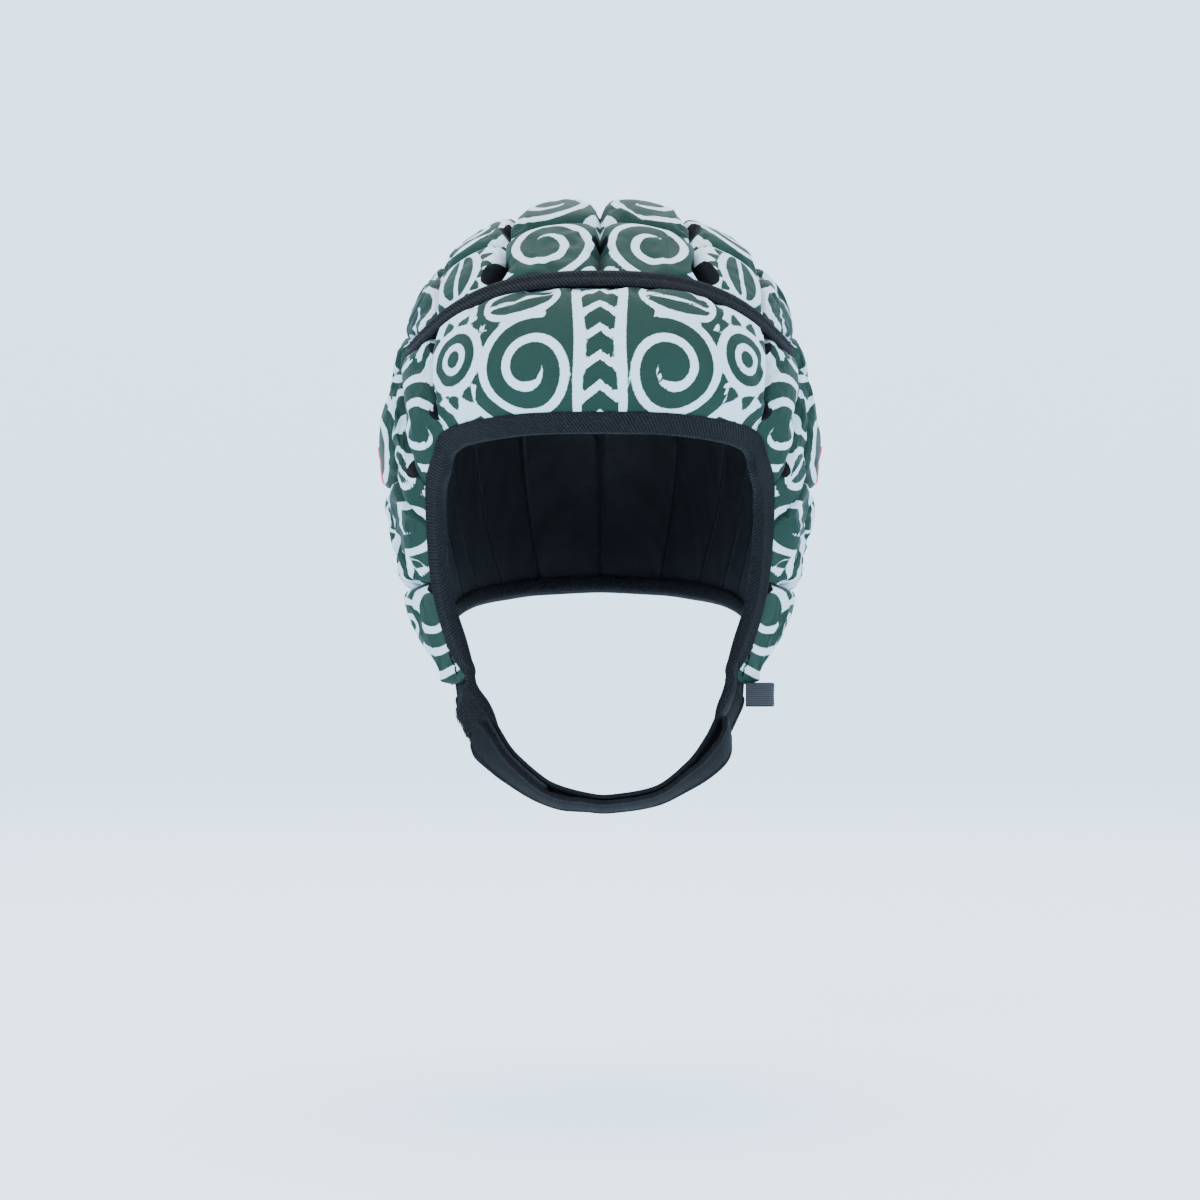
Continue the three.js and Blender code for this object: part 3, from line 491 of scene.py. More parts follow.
# Motifs of the print on one side of the head, mirrored on the other: kind, the net places of the
# two ends of its middle line, its radius in millimetres, its turn in degrees, and whether a row of
# teeth runs round it
MOTIFS = [
    ("chevrons", (0.08, 0.0), (0.94, 0.0), 7.0, 0, False),
    ("curl", (0.36, 0.62), (0.36, 0.62), 13.5, 200, False),
    ("leaf", (0.79, 0.92), (0.83, 0.45), 6.0, 0, False),
    ("rings", (0.52, 1.42), (0.52, 1.42), 9.5, 0, True),
    ("curl", (0.3, 2.9), (0.3, 2.9), 9.0, 40, False),
    ("curl", (1.5, 0.5), (1.5, 0.5), 12.5, 30, False),
    ("leaf", (1.2, 1.5), (1.75, 1.5), 6.5, 0, True),
    ("curl", (2.45, 0.52), (2.45, 0.52), 12.0, 150, False),
    ("rings", (2.55, 1.5), (2.55, 1.5), 11.0, 0, False),
    ("curl", (3.5, 0.5), (3.5, 0.5), 14.0, 300, False),
    ("leaf", (4.4, 0.3), (4.75, 0.75), 6.5, 0, True),
    ("curl", (3.7, 1.5), (3.7, 1.5), 12.0, 80, False),
    ("rings", (5.4, 0.5), (5.4, 0.5), 11.0, 0, False),
    ("curl", (5.1, 1.55), (5.1, 1.55), 12.5, 250, False),
    ("curl", (1.7, 2.6), (1.7, 2.6), 11.5, 120, False),
    ("leaf", (2.9, 2.55), (3.6, 2.6), 6.5, 0, False),
    ("rings", (4.6, 2.6), (4.6, 2.6), 11.0, 0, True),
    ("curl", (1.2, 3.9), (1.2, 3.9), 9.5, 10, False),
    ("curl", (2.6, 3.7), (2.6, 3.7), 12.0, 220, False),
    ("leaf", (3.6, 3.6), (4.2, 3.8), 7.0, 0, True),
    ("curl", (5.3, 3.5), (5.3, 3.5), 12.0, 60, False),
    ("leaf", (0.3, 4.3), (0.75, 4.7), 5.0, 0, False),
    ("curl", (1.9, 4.55), (1.9, 4.55), 12.5, 330, False),
    ("rings", (3.4, 4.6), (3.4, 4.6), 10.5, 0, False),
    ("curl", (4.9, 4.7), (4.9, 4.7), 12.5, 100, False),
    ("curl", (0.8, 5.35), (0.8, 5.35), 10.0, 180, False),
    ("leaf", (1.8, 5.5), (2.0, 5.9), 5.5, 0, True),
    ("curl", (4.6, 5.7), (4.6, 5.7), 12.0, 20, False),
    ("curl", (1.3, 6.35), (1.3, 6.35), 10.5, 130, False),
    ("rings", (3.1, 6.4), (3.1, 6.4), 9.0, 0, True),
    ("curl", (4.9, 6.6), (4.9, 6.6), 9.5, 270, False),
]
# Bands follow each other out from each motif, a pale line and a green band in each pitch
BAND_PITCH = 9.0
PALE_LINE = 3.1
TEETH_BAND = (3.1, 9.0)
TOOTH_LENGTH = 6.5
TOOTH_MARGIN = 0.6
RING_PITCH = 6.4
CHEVRON_PITCH = 9.5


def line_stripes(distance, period, pale):
    """Signed distance to the edge of stripes: above 0 in the pale ones, below 0 in the green."""
    place = np.mod(distance, period)
    return np.where(place < pale, np.minimum(place, pale - place), -np.minimum(place - pale, period - place))


def motif_print(kind, along, across, distance):
    """Signed distance to the print's edges inside a motif, above 0 where it is pale."""
    if kind == "curl":
        bulb = np.hypot(along, across) - 0.5 * BAND_PITCH
        arm = line_stripes(distance, BAND_PITCH, PALE_LINE)
        return np.where(bulb < 0, np.minimum(arm, bulb), np.where(arm > 0, np.minimum(arm, bulb + 0.3), arm))
    if kind == "rings":
        return line_stripes(distance, RING_PITCH, PALE_LINE * 0.85)
    if kind == "chevrons":
        return line_stripes(along + 0.75 * np.abs(across), CHEVRON_PITCH, PALE_LINE)
    rib = np.abs(across) - 0.9
    return np.where(rib < 0, -rib, -np.minimum(rib, np.abs(distance)))


def print_edge(points):
    """Signed distance in millimetres to the nearest edge of the print, above 0 where it is pale.
    points are on the hollow's surface."""
    points = points * (1, 1, 1)
    points[:, 0] = np.abs(points[:, 0])
    nearest = np.full(len(points), 1e9)
    value = np.zeros(len(points))
    for kind, start, end, radius, degrees, teeth in MOTIFS:
        a, b = net_points(*start), net_points(*end)
        normal = surface_normals(*start)
        spine = b - a
        length = np.linalg.norm(spine)
        if length < 1:
            down = net_points(start[0] + 0.02, start[1]) - net_points(start[0] - 0.02, start[1])
            spine = down - normal * (down @ normal)
        axis = spine / np.linalg.norm(spine)
        side = np.cross(normal, axis)
        angle = math.radians(degrees)
        axis, side = axis * math.cos(angle) + side * math.sin(angle), side * math.cos(angle) - axis * math.sin(angle)
        offset = points - a
        along, across = offset @ axis, offset @ side
        share = np.clip(along, 0, length)
        distance = np.linalg.norm(offset - share[:, None] * axis, axis=-1)
        if kind == "leaf":
            taper = 1 - np.abs(np.clip(along / max(length, 1), -0.6, 1.6) * 2 - 1) ** 2 * 0.45
            distance = distance + radius * (1 - taper) * 0.8
        distance = distance - radius
        if kind == "curl":
            distance = distance - BAND_PITCH * np.arctan2(across, along) / (2 * math.pi)
        mine = distance < nearest
        inside = motif_print(kind, along, across, distance)
        inside = np.where(inside < 0, -np.minimum(-inside, np.abs(distance)), inside)
        ground = line_stripes(distance, BAND_PITCH, PALE_LINE)
        if teeth:
            low, high = TEETH_BAND
            around = 2 * math.pi * (radius + low) + 2 * length
            count = max(6, round(around / TOOTH_LENGTH))
            turn = np.arctan2(across, along - length / 2) / (2 * math.pi) * count
            wave = np.abs(np.mod(turn, 1) - 0.5) * 2
            tall = high - low - TOOTH_MARGIN
            height = (distance - low) / tall
            tooth = np.minimum((1 - height - wave) * TOOTH_LENGTH / 3, height * tall)
            ground = np.where((distance > low) & (distance < high), -tooth, ground)
        chosen = np.where(distance < 0, inside, ground)
        value = np.where(mine, chosen, value)
        nearest = np.where(mine, distance, nearest)
    return value


def add_node(tree, kind, place, **values):
    """A shader node at a place, with sockets or settings by name."""
    node = tree.nodes.new(kind)
    node.location = place
    for name, value in values.items():
        if hasattr(node, name):
            setattr(node, name, value)
        else:
            node.inputs[name.replace("_", " ")].default_value = value
    return node


def new_material(name, roughness, sheen=0.0, sheen_tint=(1, 1, 1), specular=0.18):
    """A material, its node tree and its shader, with plain constants set on the shader."""
    material = bpy.data.materials.new(name)
    material.use_nodes = True
    shader = material.node_tree.nodes["Principled BSDF"]
    shader.inputs["Roughness"].default_value = roughness
    shader.inputs["Specular IOR Level"].default_value = specular
    shader.inputs["Sheen Weight"].default_value = sheen
    shader.inputs["Sheen Roughness"].default_value = 0.4
    shader.inputs["Sheen Tint"].default_value = (*sheen_tint, 1)
    return material, material.node_tree, shader


def add_bumps(tree, shader, layers):
    """Chains bump nodes. Each layer is a height socket, its strength and its depth in metres."""
    normal = None
    for number, (height, strength, depth) in enumerate(layers):
        bump = add_node(tree, "ShaderNodeBump", (-300, -300 - 180 * number))
        bump.inputs["Strength"].default_value = strength
        bump.inputs["Distance"].default_value = depth
        tree.links.new(height, bump.inputs["Height"])
        if normal is not None:
            tree.links.new(normal, bump.inputs["Normal"])
        normal = bump.outputs["Normal"]
    tree.links.new(normal, shader.inputs["Normal"])


def attribute_socket(tree, name, place, kind="Vector"):
    """What the mesh keeps under a name, as a socket."""
    return add_node(tree, "ShaderNodeAttribute", place, attribute_name=name).outputs[kind]


def wave_socket(tree, coordinate, place, scale, direction="X", turn=0.0, distortion=0.0):
    """Even ribs over a coordinate in millimetres. The scale is in waves a millimetre over 2 pi."""
    mapping = add_node(tree, "ShaderNodeMapping", (place[0] - 200, place[1]))
    mapping.inputs["Rotation"].default_value = (0, 0, math.radians(turn))
    tree.links.new(coordinate, mapping.inputs["Vector"])
    wave = add_node(tree, "ShaderNodeTexWave", place, bands_direction=direction)
    wave.inputs["Scale"].default_value = scale
    wave.inputs["Distortion"].default_value = distortion
    tree.links.new(mapping.outputs["Vector"], wave.inputs["Vector"])
    return wave.outputs["Fac"]


def noise_socket(tree, coordinate, place, scale, detail=2.0):
    noise = add_node(tree, "ShaderNodeTexNoise", place)
    noise.inputs["Scale"].default_value = scale
    noise.inputs["Detail"].default_value = detail
    tree.links.new(coordinate, noise.inputs["Vector"])
    return noise.outputs["Fac"]


def mixed_colour(tree, factor, first, second, place, blend="MIX"):
    """A mix of two colours, each a socket or a plain colour, by a factor socket or number."""
    mix = add_node(tree, "ShaderNodeMix", place, data_type="RGBA", blend_type=blend)
    for socket, value in ((mix.inputs[0], factor), (mix.inputs[6], first), (mix.inputs[7], second)):
        if isinstance(value, bpy.types.NodeSocket):
            tree.links.new(value, socket)
        else:
            socket.default_value = (*value, 1) if isinstance(value, tuple) else value
    return mix.outputs[2]


def remapped(tree, value, low, high, to_low, to_high, place):
    """A socket's range turned into another, smoothly, and clamped."""
    node = add_node(tree, "ShaderNodeMapRange", place, interpolation_type="SMOOTHSTEP")
    for name, number in (("From Min", low), ("From Max", high), ("To Min", to_low), ("To Max", to_high)):
        node.inputs[name].default_value = number
    tree.links.new(value, node.inputs["Value"])
    return node.outputs["Result"]


def fabric_material():
    """Fine stretch knit, printed green and pale, its tones varied at random over broad patches."""
    material, tree, shader = new_material("printed_knit", 0.68, sheen=0.04, sheen_tint=(0.85, 0.95, 1.0))
    edge = attribute_socket(tree, "print_edge", (-1500, 300), "Fac")
    cloth = attribute_socket(tree, "cloth_place", (-1500, 0))
    bleed = noise_socket(tree, cloth, (-1300, 100), 0.9, 3.0)
    shift = add_node(tree, "ShaderNodeMath", (-1100, 200), operation="MULTIPLY_ADD")
    shift.inputs[1].default_value = 0.5
    tree.links.new(bleed, shift.inputs[0])
    tree.links.new(edge, shift.inputs[2])
    pale = remapped(tree, shift.outputs["Value"], 0.08, 0.42, 0.0, 1.0, (-900, 250))
    broad = noise_socket(tree, cloth, (-1300, -100), 0.035, 2.0)
    green = mixed_colour(tree, broad, GREEN_DEEP, GREEN_LIGHT, (-700, 100))
    white = mixed_colour(tree, broad, PALE_COOL, PALE_LIGHT, (-700, -100))
    printed = mixed_colour(tree, pale, green, white, (-500, 150))
    ribs = wave_socket(tree, cloth, (-1000, -350), 0.36, "Y", 0, 1.2)
    courses = wave_socket(tree, cloth, (-1000, -550), 0.3, "X", 0, 1.5)
    shaded = mixed_colour(tree, 0.12, printed, remapped(tree, ribs, 0, 1, 0.55, 1.0, (-700, -350)), (-300, 150), "MULTIPLY")
    tree.links.new(shaded, shader.inputs["Base Color"])
    soft = noise_socket(tree, cloth, (-1000, -750), 0.12, 3.0)
    add_bumps(tree, shader, [(soft, 0.25, 0.0006), (ribs, 0.35, 0.00012), (courses, 0.25, 0.0001)])
    return material


def tape_material():
    """Black binding tape with a fine slanting rib, painted lighter on its raised ribs as highlight, and flecked grey at
    random.
    """
    material, tree, shader = new_material("ribbed_tape", 0.66, sheen=0.01, sheen_tint=(0.8, 0.85, 1.0), specular=0.07)
    tape = attribute_socket(tree, "tape_place", (-1500, 0))
    ribs = wave_socket(tree, tape, (-1000, 0), 0.27, "X", 38, 0.4)
    threads = wave_socket(tree, tape, (-1000, -250), 0.42, "Y", 38, 0.3)
    specks = noise_socket(tree, tape, (-1000, -450), 1.6, 3.0)
    # painted highlight: the raised ribs get a lighter colour than the troughs
    base = mixed_colour(tree, remapped(tree, ribs, 0.35, 0.95, 0.0, 1.0, (-800, 100)), TAPE_DARK, TAPE_RIB_HIGHLIGHT, (-600, 100))
    spread = mixed_colour(tree, remapped(tree, specks, 0.45, 0.75, 0.0, 0.5, (-800, -450)), base, TAPE_GREY, (-400, 100))
    tree.links.new(spread, shader.inputs["Base Color"])
    add_bumps(tree, shader, [(ribs, 0.8, 0.00035), (threads, 0.4, 0.00012)])
    return material


def webbing_material():
    """Matt black strap of close fine weave."""
    material, tree, shader = new_material("strap_weave", 0.8, sheen=0.005, sheen_tint=(0.8, 0.85, 1.0), specular=0.05)
    tape = attribute_socket(tree, "tape_place", (-1500, 0))
    weft = wave_socket(tree, tape, (-1000, 0), 0.26, "X", 0, 0.5)
    warp = wave_socket(tree, tape, (-1000, -250), 0.3, "Y", 0, 0.5)
    cloudy = noise_socket(tree, tape, (-1000, -450), 0.25, 4.0)
    tree.links.new(mixed_colour(tree, cloudy, STRAP_DARK, STRAP_LIGHT, (-500, 100)), shader.inputs["Base Color"])
    add_bumps(tree, shader, [(weft, 0.5, 0.00018), (warp, 0.4, 0.00014)])
    return material


def lining_material():
    """Smooth black knit with a low sheen, seamed where the pads are sewn on, and darkened by painted shade along the
    seam valleys.
    """
    material, tree, shader = new_material("lining_knit", 0.55, sheen=0.03, sheen_tint=(0.75, 0.85, 1.0))
    cloth = attribute_socket(tree, "cloth_place", (-1500, 0))
    seam = attribute_socket(tree, "seam_distance", (-1500, -300), "Fac")
    ribs = wave_socket(tree, cloth, (-1000, 0), 0.3, "Y", 0, 1.0)
    cloudy = noise_socket(tree, cloth, (-1000, -250), 0.08, 3.0)
    base = mixed_colour(tree, cloudy, LINING_DARK, LINING_LIGHT, (-600, 100))
    # painted shade: the colour falls to the darkest black at the bottoms of the seam valleys
    near = remapped(tree, seam, 0.3, 1.4, 1.0, 0.0, (-800, -400))
    tree.links.new(mixed_colour(tree, near, base, LINING_DARK, (-400, 100)), shader.inputs["Base Color"])
    valley = remapped(tree, seam, 0.0, 3.5, 0.0, 1.0, (-800, -600))
    add_bumps(tree, shader, [(valley, 0.7, 0.0012), (ribs, 0.4, 0.00015)])
    return material


def fuzz_material():
    """Black nylon loops."""
    material, tree, shader = new_material("loop_pile", 0.75, sheen=0.02, sheen_tint=(0.8, 0.85, 0.95), specular=0.06)
    where = add_node(tree, "ShaderNodeNewGeometry", (-1200, 0)).outputs["Position"]
    specks = noise_socket(tree, where, (-1000, 0), 1100.0, 2.0)
    tree.links.new(mixed_colour(tree, specks, PILE_DARK, PILE_LIGHT, (-500, 100)), shader.inputs["Base Color"])
    add_bumps(tree, shader, [(specks, 0.8, 0.0004)])
    return material


def keeper_material():
    """Smooth grey-black elastic with fine ribs along it, painted lighter on the ribs' crests as highlight."""
    material, tree, shader = new_material("keeper_elastic", 0.5, sheen=0.01, specular=0.12)
    tape = attribute_socket(tree, "tape_place", (-1500, 0))
    ribs = wave_socket(tree, tape, (-1000, 0), 0.7, "Y", 0, 0.3)
    # painted highlight: the ribs' crests get a lighter colour than their troughs
    tree.links.new(mixed_colour(tree, ribs, KEEPER_DARK, KEEPER_RIB_HIGHLIGHT, (-500, 100)), shader.inputs["Base Color"])
    add_bumps(tree, shader, [(ribs, 0.6, 0.0003)])
    return material


def film_material():
    """Glossy red heat-pressed film with a faint fabric grain under it."""
    material, tree, shader = new_material("side_film", 0.36)
    where = add_node(tree, "ShaderNodeNewGeometry", (-1200, 0)).outputs["Position"]
    grain = noise_socket(tree, where, (-1000, 0), 1400.0, 2.0)
    broad = noise_socket(tree, where, (-1000, -250), 60.0, 2.0)
    tree.links.new(mixed_colour(tree, broad, FILM_DEEP, FILM_LIGHT, (-500, 100)), shader.inputs["Base Color"])
    shader.inputs["Coat Weight"].default_value = 0.25
    add_bumps(tree, shader, [(grain, 0.3, 0.0001)])
    return material


def stage_material():
    """Matt pale paper."""
    material, tree, shader = new_material("pale_paper", 0.95)
    where = add_node(tree, "ShaderNodeNewGeometry", (-1200, 0)).outputs["Position"]
    cloudy = noise_socket(tree, where, (-1000, 0), 1.5, 2.0)
    tree.links.new(mixed_colour(tree, cloudy, PAPER, PAPER_LIGHT, (-500, 100)), shader.inputs["Base Color"])
    shader.inputs["Emission Color"].default_value = (0.63, 0.82, 1.0, 1)
    shader.inputs["Emission Strength"].default_value = 0.84
    return material


# Colours, as linear values
GREEN_DEEP = (0.004, 0.0205, 0.0145)
GREEN_LIGHT = (0.008, 0.034, 0.025)
PALE_COOL = (0.45, 0.57, 0.64)
PALE_LIGHT = (0.58, 0.69, 0.75)
TAPE_DARK = (0.0025, 0.0027, 0.0035)
# lighter tape colour, painted on the raised ribs as highlight
TAPE_RIB_HIGHLIGHT = (0.009, 0.0098, 0.0125)
TAPE_GREY = (0.026, 0.028, 0.034)
STRAP_DARK = (0.0035, 0.004, 0.005)
STRAP_LIGHT = (0.0085, 0.009, 0.011)
LINING_DARK = (0.006, 0.0065, 0.008)
LINING_LIGHT = (0.018, 0.019, 0.023)
PILE_DARK = (0.005, 0.005, 0.006)
PILE_LIGHT = (0.03, 0.031, 0.036)
KEEPER_DARK = (0.008, 0.009, 0.011)
# lighter elastic colour, painted on the ribs' crests as highlight
KEEPER_RIB_HIGHLIGHT = (0.045, 0.048, 0.056)
FILM_DEEP = (0.72, 0.06, 0.11)
FILM_LIGHT = (0.82, 0.1, 0.16)
PAPER = (0.72, 0.82, 0.9)
PAPER_LIGHT = (0.74, 0.84, 0.91)

FABRIC = fabric_material()
LINING = lining_material()
TAPE = tape_material()
WEBBING = webbing_material()
PILE = fuzz_material()
KEEPER = keeper_material()
FILM = film_material()


def finished(piece, node):
    """The piece stands for the node and rides on the part."""
    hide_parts(node)
    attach(piece, "root")
    return piece


def trimmed(piece):
    """A small piece beside the nodes' own, which rides on the part."""
    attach(piece, "root")
    return piece


def oval_cutter(row, column, lengthwise_size, crosswise_size, taper):
    """An oval prism through the wall at a place of the net, wider at its outer end."""
    centre = net_points(row, column)
    normal = surface_normals(row, column)
    lengthwise = net_points(row + 0.02, column) - net_points(row - 0.02, column)
    lengthwise -= normal * (lengthwise @ normal)
    lengthwise /= np.linalg.norm(lengthwise)
    crosswise = np.cross(normal, lengthwise)
    sides = 36
    rings = [(-4, 0.92), (7, 0.96), (22, 1.35)]
    points = []
    for height, flare in rings:
        for k in range(sides):
            angle = 2 * math.pi * k / sides
            width = crosswise_size * (1 - taper * math.cos(angle))
            reach = lengthwise * math.cos(angle) * lengthwise_size + crosswise * math.sin(angle) * width
            points.append(centre + normal * height + reach * flare / 2)
    faces = [tuple(range(sides)), tuple(range(3 * sides - 1, 2 * sides - 1, -1))]
    for low in (0, sides):
        faces += [(low + k, low + (k + 1) % sides, low + sides + (k + 1) % sides, low + sides + k) for k in range(sides)]
    return new_object("cutter", np.array(points), faces, LINING, places=np.zeros((3 * sides, 2)), smooth=False)


def cut_with(made, cutters):
    """Cuts the cutters out of a mesh and keeps their dark walls. The plain cut loses a mesh that
    folds through itself, so such a mesh is cut again in the slower way that allows for folds."""
    if not cutters:
        return
    for cutter in cutters:
        modifier = made.modifiers.new("vent", "BOOLEAN")
        modifier.operation = "DIFFERENCE"
        modifier.solver = "EXACT"
        modifier.material_mode = "TRANSFER"
        modifier.object = cutter
    whole = len(made.data.polygons)
    for allow_folds in (False, True):
        for modifier in made.modifiers:
            modifier.use_self = allow_folds
        evaluated = made.evaluated_get(bpy.context.evaluated_depsgraph_get())
        cut = bpy.data.meshes.new_from_object(evaluated)
        if len(cut.polygons) > whole / 2:
            break
    made.data = cut
    made.modifiers.clear()


def touches(rectangle, row, column):
    """Whether a place of the net is in or on the edge of a pad's rectangle."""
    top, bottom, left, right = rectangle
    near = 0.02
    return top - near < row < bottom + near and left - near < column < right + near


def both_sides(places):
    """Each place and its mirror place, or the place alone on the middle line."""
    for row, column, *rest in places:
        yield (row, column, *rest)
        if column:
            yield (row, -column, *rest)


class Shell:
    """The wall's grid: places, points of the hollow, normals, lengths, and the outer fabric."""

    def __init__(self):
        self.row, self.column = shell_grid()
        self.hollow = net_points(self.row, self.column)
        self.normal = surface_normals(self.row, self.column)
        self.lengths = np.stack(length_map(self.row, self.column), axis=-1)
        height = np.zeros(self.row.shape)
        held = np.zeros(self.row.shape, bool)
        self.seam = np.full(self.row.shape, 99.0)
        for rectangle in all_pads().values():
            part = grid_slice(rectangle)
            height[part] = pad_heights(rectangle, self.row[part], self.column[part])
            top, bottom, left, right = rectangle
            rim = np.isin(self.row[part], (top, bottom)) | np.isin(self.column[part], (left, right))
            held[part] |= rim
            depth = (height[part] - GROOVE_FLOOR) / SHOULDER_HEIGHT
            self.seam[part] = SHOULDER_RADIUS * np.clip(depth, 0, 1) ** 2
        below = self.lengths[..., 1]
        to_edge = np.minimum(below, below[-1] - below)
        height = np.minimum(height, edge_limit(to_edge))
        puckers = 0.18 * plain_noise(self.hollow, 21, 3) * (height - EDGE_HEIGHT) / SHOULDER_HEIGHT
        start = self.hollow + self.normal * (height + puckers)[..., None]
        free = np.clip((to_edge - BINDING_COVER) / BINDING_COVER, 0, 1)[..., None]
        self.outer = start + (inflated(start, held) - start) * free


def make_pads(shell, vents, ears):
    """Every pad: its outer fabric from the shell, its inner face by the lining, and its vents."""
    for name, rectangle in all_pads().items():
        part = grid_slice(rectangle)
        outer = finer(finer(shell.outer[part], 0), 1)
        inner = finer(finer(shell.hollow[part] + shell.normal[part] * PAD_BASE, 0), 1)
        places = finer(finer(np.stack([shell.row[part], shell.column[part]], axis=-1), 0), 1)
        shape = outer.shape[:2]
        count = shape[0] * shape[1]
        points = np.concatenate([outer.reshape(-1, 3), inner.reshape(-1, 3)])
        faces = np.concatenate([grid_faces(*shape), grid_faces(*shape, start=count), rim_faces(*shape, count)])
        places = places.reshape(-1, 2)
        pad = new_object(name, points, faces, FABRIC, places=np.concatenate([places, places]))
        holes = [cutter for place, cutter in vents if touches(rectangle, *place)]
        if name.startswith("ear_pad"):
            holes += [cutter for place, cutter in ears if touches(rectangle, *place)]
        cut_with(pad, holes)
        shade_by_angle(pad, 60)
        at = corner_places(pad.data, 0)
        keep_attribute(pad.data, "print_edge", print_edge(sample(shell.hollow, at)))
        cloth_place = np.concatenate([sample(shell.lengths, at), np.zeros((len(at), 1))], axis=1)
        keep_attribute(pad.data, "cloth_place", cloth_place)
        finished(pad, name)


def make_lining(shell, ears):
    """The lining: a thin sheet under all the pads."""
    step = 2
    part = (slice(None, None, step), slice(None, None, step))
    hollow, normal = shell.hollow[part], shell.normal[part]
    puff = (0.5 * np.clip(shell.seam[part] / SHOULDER_RADIUS, 0, 1))[..., None]
    outer = hollow + normal * LINING_THICKNESS
    inner = hollow + normal * (0.5 - puff)
    points = np.concatenate([outer.reshape(-1, 3), inner.reshape(-1, 3)])
    shape = hollow.shape[:2]
    count = shape[0] * shape[1]
    faces = np.concatenate([grid_faces(*shape), grid_faces(*shape, start=count), rim_faces(*shape, count)])
    places = np.stack([shell.row[part], shell.column[part]], axis=-1).reshape(-1, 2)
    lining = new_object("lining_sheet", points, faces, LINING, places=np.concatenate([places, places]))
    cut_with(lining, [cutter for _, cutter in ears])
    shade_by_angle(lining, 60)
    at = corner_places(lining.data, 0)
    cloth_place = np.concatenate([sample(shell.lengths, at), np.zeros((len(at), 1))], axis=1)
    keep_attribute(lining.data, "cloth_place", cloth_place)
    keep_attribute(lining.data, "seam_distance", sample(shell.seam[..., None], at)[:, 0])
    return finished(lining, "lining")


EDGE_TAPE_END = 0.07


def sweep(name, rings, material, lengths, girths):
    """A closed solid through rings of points, one ring a station."""
    stations, sides = rings.shape[:2]
    index = np.arange(stations * sides).reshape(stations, sides)
    following = np.roll(index, -1, axis=1)
    walls = np.stack([index[:-1], following[:-1], following[1:], index[1:]], axis=-1).reshape(-1, 4)
    faces = [tuple(f) for f in walls] + [tuple(index[0][::-1]), tuple(index[-1])]
    made = new_object(name, rings.reshape(-1, 3), faces, material)
    zero = np.zeros((stations, sides))
    keep_attribute(made.data, "tape_place", np.stack([zero + lengths[:, None], zero + girths, zero], axis=-1).reshape(-1, 3))
    shade_by_angle(made, 50)
    return made


def run_lengths(points):
    """Lengths along a run of points, from its start."""
    return np.concatenate([[0], np.cumsum(np.linalg.norm(np.diff(points, axis=0), axis=-1))])


def pad_top(distance):
    """Height of a pad's outer face at a distance in from its own edge."""
    inside = np.clip(np.asarray(distance, float) / SHOULDER_RADIUS, 0, 1)
    return GROOVE_FLOOR + SHOULDER_HEIGHT * np.sqrt(1 - (1 - inside) ** 2)


def tape_along(name, row, inward, columns, section, sink=0.0, narrow=0.0, thin=0.0):
    """A tape along a row of the net. Its section is distances in from the row, and heights. Over
    the last of its length it sinks by so many millimetres, and narrows and thins by a share."""
    station = columns[:, None]
    length = cell_length(np.full_like(station, row, dtype=float), station, "column")
    end = 1 - np.clip((np.abs(columns[0]) - np.abs(station)) / TAPE_END_RUN, 0, 1)
    distance = section[None, :, 0] * (1 - narrow * end**2)
    place = row + inward * distance / length
    height = section[None, :, 1] - sink * end**2
    height = height + (BINDING_MIDDLE - height) * thin * end**2
    rings = surface_points(place, np.broadcast_to(station, place.shape), height)
    return sweep(name, rings, TAPE, run_lengths(rings[:, 4]), run_lengths(section))


def make_binding(name, row):
    """The tape folded round the wall's edge along the first or the last row."""
    thick = 1.1
    outer_leg = []
    for distance in np.linspace(BINDING_COVER, 0.4, 12):
        roll = min(1.0, (BINDING_COVER - distance) / 1.2 + 0.35)
        outer_leg.append((distance, edge_limit(distance) + 0.3 + thick * roll))
    nose = [(-0.9, EDGE_HEIGHT + 1.1), (-1.7, EDGE_HEIGHT - 0.2), (-1.85, 1.8), (-1.6, 0.2), (-0.8, -0.9)]
    inner_leg = [(0.6, -1.25), (2.6, -1.35), (4.8, -1.2), (5.4, -0.7), (4.8, -0.25), (2.6, -0.2), (0.4, -0.2)]
    core = [(-0.3, 0.6), (-0.3, EDGE_HEIGHT - 0.2)]
    under = [(distance, edge_limit(distance) + 0.2) for distance in (0.8, 2.2, 3.6, 5.0, BINDING_COVER)]
    section = np.array(outer_leg + nose + inner_leg + core + under, float)
    columns = np.linspace(-LAST_COLUMN, LAST_COLUMN, 421)
    inward = 1 if row == 0 else -1
    made = tape_along(name + "_tape", row, inward, columns, section, narrow=BINDING_END_NARROWING, thin=BINDING_END_THINNING)
    return finished(made, name)


def make_band():
    """The arched tape in the seam over the brow, creased along its middle."""
    valley = GROOVE_FLOOR + 0.3
    w = BAND_HALF_WIDTH
    edge = float(pad_top(w)) + 0.3
    section = np.array([
        (-w, edge), (-w * 0.5, valley + 2.6), (-0.3, valley + 0.6), (0.3, valley + 0.6), (w * 0.5, valley + 2.6),
        (w, edge), (w + 0.25, edge + 0.5), (w, edge + 1.1), (w * 0.75, edge + 1.6), (w * 0.4, edge + 1.7),
        (w * 0.12, edge + 1.25), (-w * 0.1, edge + 1.2), (-w * 0.4, edge + 1.6), (-w * 0.75, edge + 1.5),
        (-w, edge + 1.1), (-w - 0.25, edge + 0.5),
    ])
    made = tape_along("brow_band_tape", 1, 1, np.linspace(-3.8, 3.8, 301), section, BAND_SINK)
    return finished(made, "brow_band")


